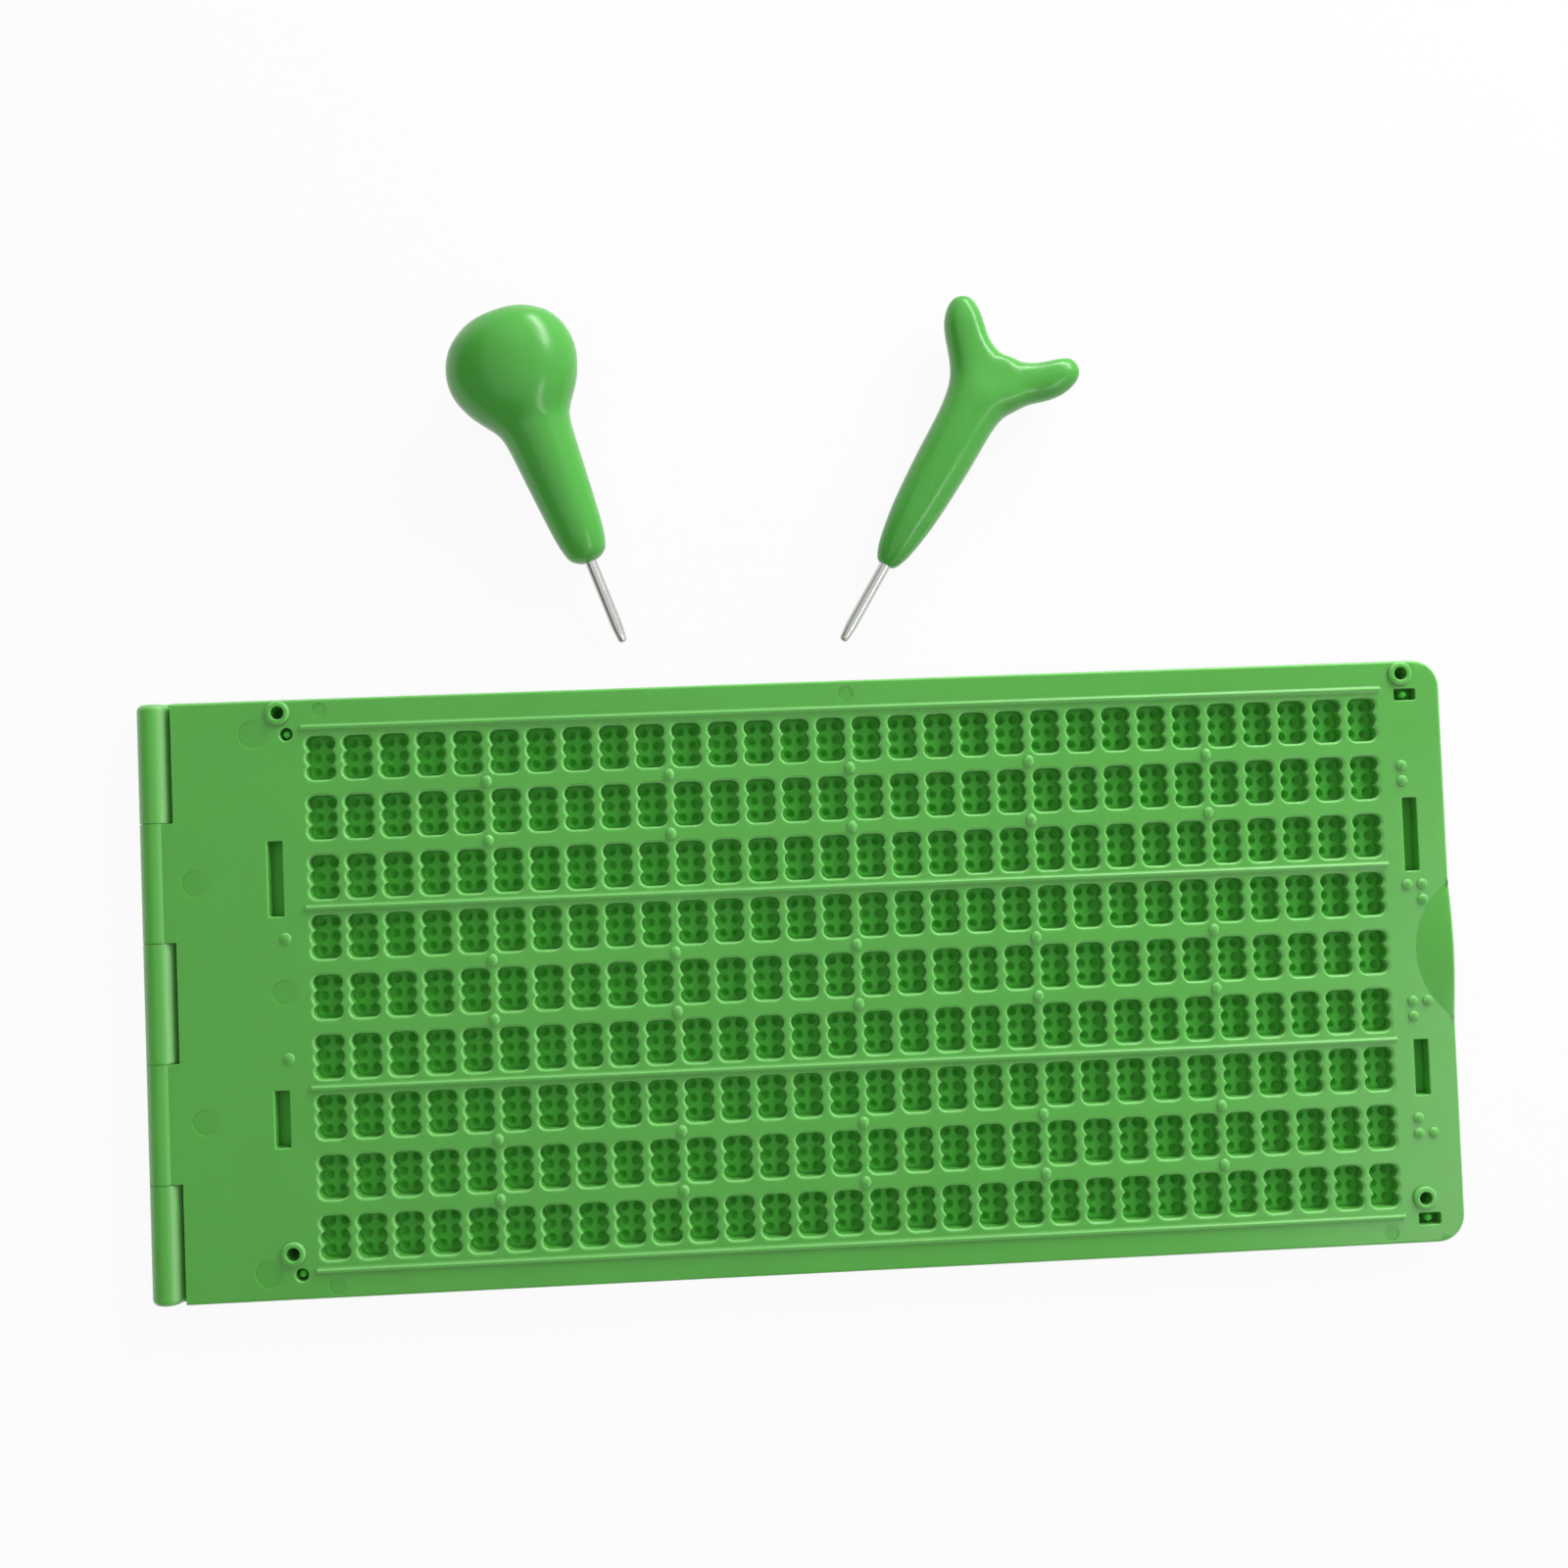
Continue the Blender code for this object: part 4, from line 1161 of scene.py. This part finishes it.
def moulded_plastic(name, green, painted_sheen, roughness, bed=None):
    """Satin moulded plastic: faint flow marks, a fine grain, a few scratches and a painted sheen on raised
    sloping faces.

    The bed is the duller roughness of the face away from the hinge, where there is one, with a darker, more
    saturated green there that is painted shade of the recesses under the window plate.
    """
    finish = Finish(bpy.data.materials.new(name))
    flat = finish.place()
    mottle = finish.noise(flat, 38.0, 3.0, 0.55, 0.6)
    flow = finish.noise(finish.place((26, 9, 26), (0, 0, math.radians(14))), 1.0, 4.0, 0.6, 1.4)
    grain = finish.noise(flat, 5200.0, 2.0, 0.6)
    peel = finish.noise(flat, 900.0, 2.0, 0.5)
    streaks = finish.noise(finish.place((2600, 60, 400), (0, 0, math.radians(33))), 1.0, 1.0, 0.5)
    scratches = streaks.math("SUBTRACT", 0.70).math("MULTIPLY", 7.0, clamp=True)
    shade = mottle * 0.55 + flow * 0.45
    base = finish.between(
        finish.node("ShaderNodeValToRGB", {"stops": ((0.32, 0.0), (0.68, 1.0))}, {"Fac": shade}),
        tinted(green, 0.955),
        tinted(green, 1.045),
    )
    gloss = (shade - 0.5) * 0.10 + (grain - 0.5) * 0.10 + scratches * 0.06 + roughness
    # Painted sheen: sloping faces above a height turn a paler green, standing in for highlights on rims,
    # ribs, dots and barrels
    upward = finish.along(finish.node("ShaderNodeTexCoord", output="Normal"), "Z")
    sloping = finish.node(
        "ShaderNodeValToRGB", {"stops": ((0.05, 0.0), (0.30, 1.0), (0.80, 1.0), (0.97, 0.0))}, {"Fac": upward}
    )
    raised = finish.along(flat, "Z").math("GREATER_THAN", PAINTED_SHEEN_ABOVE)
    base = finish.between(sloping * raised, base, painted_sheen)
    # Painted shade: upward faces away from the hinge take the bed's darker green, standing in for the shade
    # in the recesses; they also take its duller roughness
    if bed:
        away = finish.along(flat, "X").math("GREATER_THAN", PLATE_LEFT) * upward.math("GREATER_THAN", 0.3)
        base = finish.between(away, base, finish.between(shade, tinted(bed[0], 0.955), tinted(bed[0], 1.045)))
        gloss = gloss + away * (bed[1] - roughness)
    relief = grain * 0.000004 + peel * 0.000006 - scratches * 0.000004
    bump = finish.bump(relief)
    shader = finish.principled(Base_Color=base, Roughness=gloss, Normal=bump, IOR=1.49, **MILKINESS)
    return finish.surface(shader)


def glossy_plastic(name, green, roughness):
    """Glossy moulded plastic of the handles, with a slight waviness and soft handling marks."""
    finish = Finish(bpy.data.materials.new(name))
    flat = finish.place()
    mottle = finish.noise(flat, 70.0, 3.0, 0.5, 0.4)
    wave = finish.noise(flat, 240.0, 2.0, 0.5)
    marks = finish.noise(finish.place((900, 120, 300), (0, 0, math.radians(-20))), 1.0, 2.0, 0.5)
    worn = marks.math("SUBTRACT", 0.62).math("MULTIPLY", 5.0, clamp=True)
    base = finish.between(mottle, tinted(green, 0.94), tinted(green, 1.06))
    gloss = (mottle - 0.5) * 0.08 + worn * 0.03 + roughness
    bump = finish.bump(wave * 0.00001)
    shader = finish.principled(Base_Color=base, Roughness=gloss, Normal=bump, IOR=1.52, **MILKINESS)
    return finish.surface(shader)


def drawn_steel(name, steel, roughness, heading):
    """Drawn steel: fine streaks along the wire."""
    finish = Finish(bpy.data.materials.new(name))
    streaks = finish.noise(finish.place((2400, 20, 2400), (0, 0, -heading)), 1.0, 2.0, 0.5)
    blotches = finish.noise(finish.place(), 300.0, 2.0)
    base = finish.between(streaks * 0.7 + blotches * 0.3, tinted(steel, 0.88), tinted(steel, 1.06))
    gloss = (streaks - 0.5) * 0.08 + (blotches - 0.5) * 0.06 + roughness
    bump = finish.bump(streaks * 0.0000004)
    shader = finish.principled(Base_Color=base, Roughness=gloss, Normal=bump, Metallic=1.0)
    return finish.surface(shader)


def studio_white(name, white, glow):
    """Pale floor that the camera and reflections see near white, with the shadows kept."""
    finish = Finish(bpy.data.materials.new(name))
    diffuse = finish.node("ShaderNodeBsdfDiffuse", {}, {"Color": white})
    plain = finish.node("ShaderNodeEmission", {}, {"Color": (1, 1, 1), "Strength": 1.0})
    seen = finish.ray("Camera").math("ADD", finish.mirrored(), clamp=True)
    return finish.surface(finish.blend(seen * glow, diffuse, plain))


def studio_sky(name, fill, zenith):
    """Even soft light all round. Reflections see it white at the right and dim overhead and at the left."""
    sky = Finish(bpy.data.worlds.new(name), "ShaderNodeOutputWorld")
    direction = sky.node("ShaderNodeTexCoord", output="Generated")
    vectors = {0: direction, 1: SKY_DIM}
    dim = sky.node("ShaderNodeVectorMath", {"operation": "DOT_PRODUCT"}, vectors, output="Value")
    look = sky.node("ShaderNodeValToRGB", {"stops": ((0.30, 1.0), (0.72, zenith))}, {"Fac": dim})
    light = sky.node("ShaderNodeBackground", {}, {"Color": (1, 1, 1), "Strength": fill})
    gloss = sky.node("ShaderNodeBackground", {}, {"Color": look, "Strength": 1.0})
    plain = sky.node("ShaderNodeBackground", {}, {"Color": (1, 1, 1), "Strength": 1.0})
    return sky.surface(sky.blend(sky.ray("Camera"), sky.blend(sky.mirrored(), light, gloss), plain))


class SLATE_OT_pit_plate(bpy.types.Operator):
    """Model the lower plate with its pits, pegs and knuckles"""

    bl_idname = "slate.pit_plate"
    bl_label = "Pit plate"

    def execute(self, context):
        finishes = context.scene.slate_finishes
        # The bed's colour is painted shade of the recesses; its roughness is the face's own
        bed = (finishes.bed_painted_shade_green, finishes.bed_roughness)
        finish = moulded_plastic(
            "pit_plate_satin_green", finishes.pit_green, finishes.painted_sheen_green, finishes.plate_roughness, bed
        )
        plate = build_pit_plate(context.scene.slate_sizes)
        dress(plate, "pit_leaf", "pit_plate", finish)
        return {"FINISHED"}


class SLATE_OT_window_plate(bpy.types.Operator):
    """Model the upper plate with its windows, guides, bosses, lifting lip and knuckles"""

    bl_idname = "slate.window_plate"
    bl_label = "Window plate"

    def execute(self, context):
        finishes = context.scene.slate_finishes
        finish = moulded_plastic(
            "window_plate_satin_green", finishes.window_green, finishes.painted_sheen_green, finishes.plate_roughness
        )
        plate = build_window_plate(context.scene.slate_sizes)
        dress(plate, "window_leaf", "window_plate", finish)
        return {"FINISHED"}


class SLATE_OT_hinge_pin(bpy.types.Operator):
    """Model the steel pin of the hinge"""

    bl_idname = "slate.hinge_pin"
    bl_label = "Hinge pin"

    def execute(self, context):
        finishes = context.scene.slate_finishes
        finish = drawn_steel("hinge_pin_drawn_steel", finishes.steel, finishes.steel_roughness, 0.0)
        dress(build_hinge_pin(), "pit_leaf", "hinge_pin", finish)
        return {"FINISHED"}


def stylus(context, name, handle, place, heading, tilt):
    """Dresses one stylus, its handle and its needle, and lays it on the table."""
    finishes = context.scene.slate_finishes
    steel = needle(name + "_needle", context.scene.stylus_sizes)
    lay_down((handle, steel), place, heading, tilt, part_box(name + "_stylus_handle")[0].z)
    plastic = glossy_plastic(name + "_handle_gloss_green", finishes.stylus_green, finishes.handle_roughness)
    dress(handle, name + "_stylus", name + "_stylus_handle", plastic)
    wire = drawn_steel(name + "_needle_drawn_steel", finishes.steel, finishes.steel_roughness, heading)
    dress(steel, name + "_stylus", name + "_stylus_needle", wire)


class SLATE_OT_knob_stylus(bpy.types.Operator):
    """Model the stylus with the knob head and its needle"""

    bl_idname = "slate.knob_stylus"
    bl_label = "Knob stylus"

    def execute(self, context):
        handle = knob_handle(context.scene.stylus_sizes)
        stylus(context, "knob", handle, KNOB_PLACE, KNOB_HEADING, KNOB_TILT)
        return {"FINISHED"}


class SLATE_OT_fork_stylus(bpy.types.Operator):
    """Model the stylus with the forked head and its needle"""

    bl_idname = "slate.fork_stylus"
    bl_label = "Fork stylus"

    def execute(self, context):
        handle = fork_handle(context.scene.stylus_sizes)
        stylus(context, "fork", handle, FORK_PLACE, FORK_HEADING, FORK_TILT)
        return {"FINISHED"}


def lamp(name, watts, mirrored=True):
    """A soft lamp as long as the line between its ends, which faces the target."""
    start, end, breadth = LAMPS[name]
    start, end = Vector(start), Vector(end)
    place = (start + end) / 2
    along = (end - start).normalized()
    back = place - Vector(LAMP_TARGET)
    back = (back - along * back.dot(along)).normalized()
    bpy.ops.object.select_all(action="DESELECT")
    bpy.ops.object.light_add(type="AREA", location=place)
    made = bpy.context.active_object
    made.name = name
    made.data.shape = "RECTANGLE"
    made.data.size = (end - start).length
    made.data.size_y = breadth
    made.data.energy = watts
    made.rotation_euler = Matrix((along, back.cross(along), back)).transposed().to_euler()
    made.visible_camera = False
    made.visible_glossy = mirrored


class SLATE_OT_studio(bpy.types.Operator):
    """Set up the pale floor, the soft studio light and the camera"""

    bl_idname = "slate.studio"
    bl_label = "Studio"

    def execute(self, context):
        studio = context.scene.studio_settings
        bpy.ops.object.select_all(action="DESELECT")
        bpy.ops.mesh.primitive_plane_add(size=FLOOR_SIZE, location=(0, 0, -FLOOR_DROP))
        floor = settle("studio_floor")
        floor.data.materials.append(studio_white("studio_floor_white", studio.floor_white, studio.floor_glow))

        context.scene.world = studio_sky("studio_sky", studio.fill, studio.zenith)
        lamp("top_box", studio.top)
        lamp("key_box", studio.key, mirrored=False)
        lamp("tube_far", studio.tube_far)
        lamp("tube_near", studio.tube_near)

        turn = [math.radians(angle) for angle in CAMERA_TURN]
        bpy.ops.object.camera_add(location=CAMERA_PLACE, rotation=turn)
        camera = bpy.context.active_object
        camera.name = "studio_camera"
        camera.data.sensor_width = CAMERA_SENSOR
        camera.data.lens = studio.lens
        camera.data.clip_start, camera.data.clip_end = CAMERA_CLIP
        context.scene.camera = camera
        context.scene.view_settings.view_transform = "Standard"
        return {"FINISHED"}


class SLATE_PT_sidebar(bpy.types.Panel):
    """Buttons and sizes of the braille slate"""

    bl_label = "Braille slate"
    bl_idname = "SLATE_PT_sidebar"
    bl_space_type = "VIEW_3D"
    bl_region_type = "UI"
    bl_category = "Slate"

    def draw(self, context):
        for operator in OPERATORS:
            self.layout.operator(operator.bl_idname)
        for name, kind in SETTINGS.items():
            box = self.layout.box()
            for field in kind.__annotations__:
                box.prop(getattr(context.scene, name), field)


OPERATORS = (
    SLATE_OT_pit_plate,
    SLATE_OT_window_plate,
    SLATE_OT_hinge_pin,
    SLATE_OT_knob_stylus,
    SLATE_OT_fork_stylus,
    SLATE_OT_studio,
)
SETTINGS = {
    "slate_sizes": SlateSizes,
    "stylus_sizes": StylusSizes,
    "slate_finishes": SlateFinishes,
    "studio_settings": StudioSettings,
}
CLASSES = (*SETTINGS.values(), *OPERATORS, SLATE_PT_sidebar)


def register():
    for kind in CLASSES:
        bpy.utils.register_class(kind)
    for name, kind in SETTINGS.items():
        setattr(bpy.types.Scene, name, PointerProperty(type=kind))


def unregister():
    for name in SETTINGS:
        delattr(bpy.types.Scene, name)
    for kind in reversed(CLASSES):
        bpy.utils.unregister_class(kind)


def main():
    register()
    bpy.ops.slate.pit_plate()
    bpy.ops.slate.window_plate()
    bpy.ops.slate.hinge_pin()
    bpy.ops.slate.knob_stylus()
    bpy.ops.slate.fork_stylus()
    bpy.ops.slate.studio()


if __name__ == "__main__":
    main()
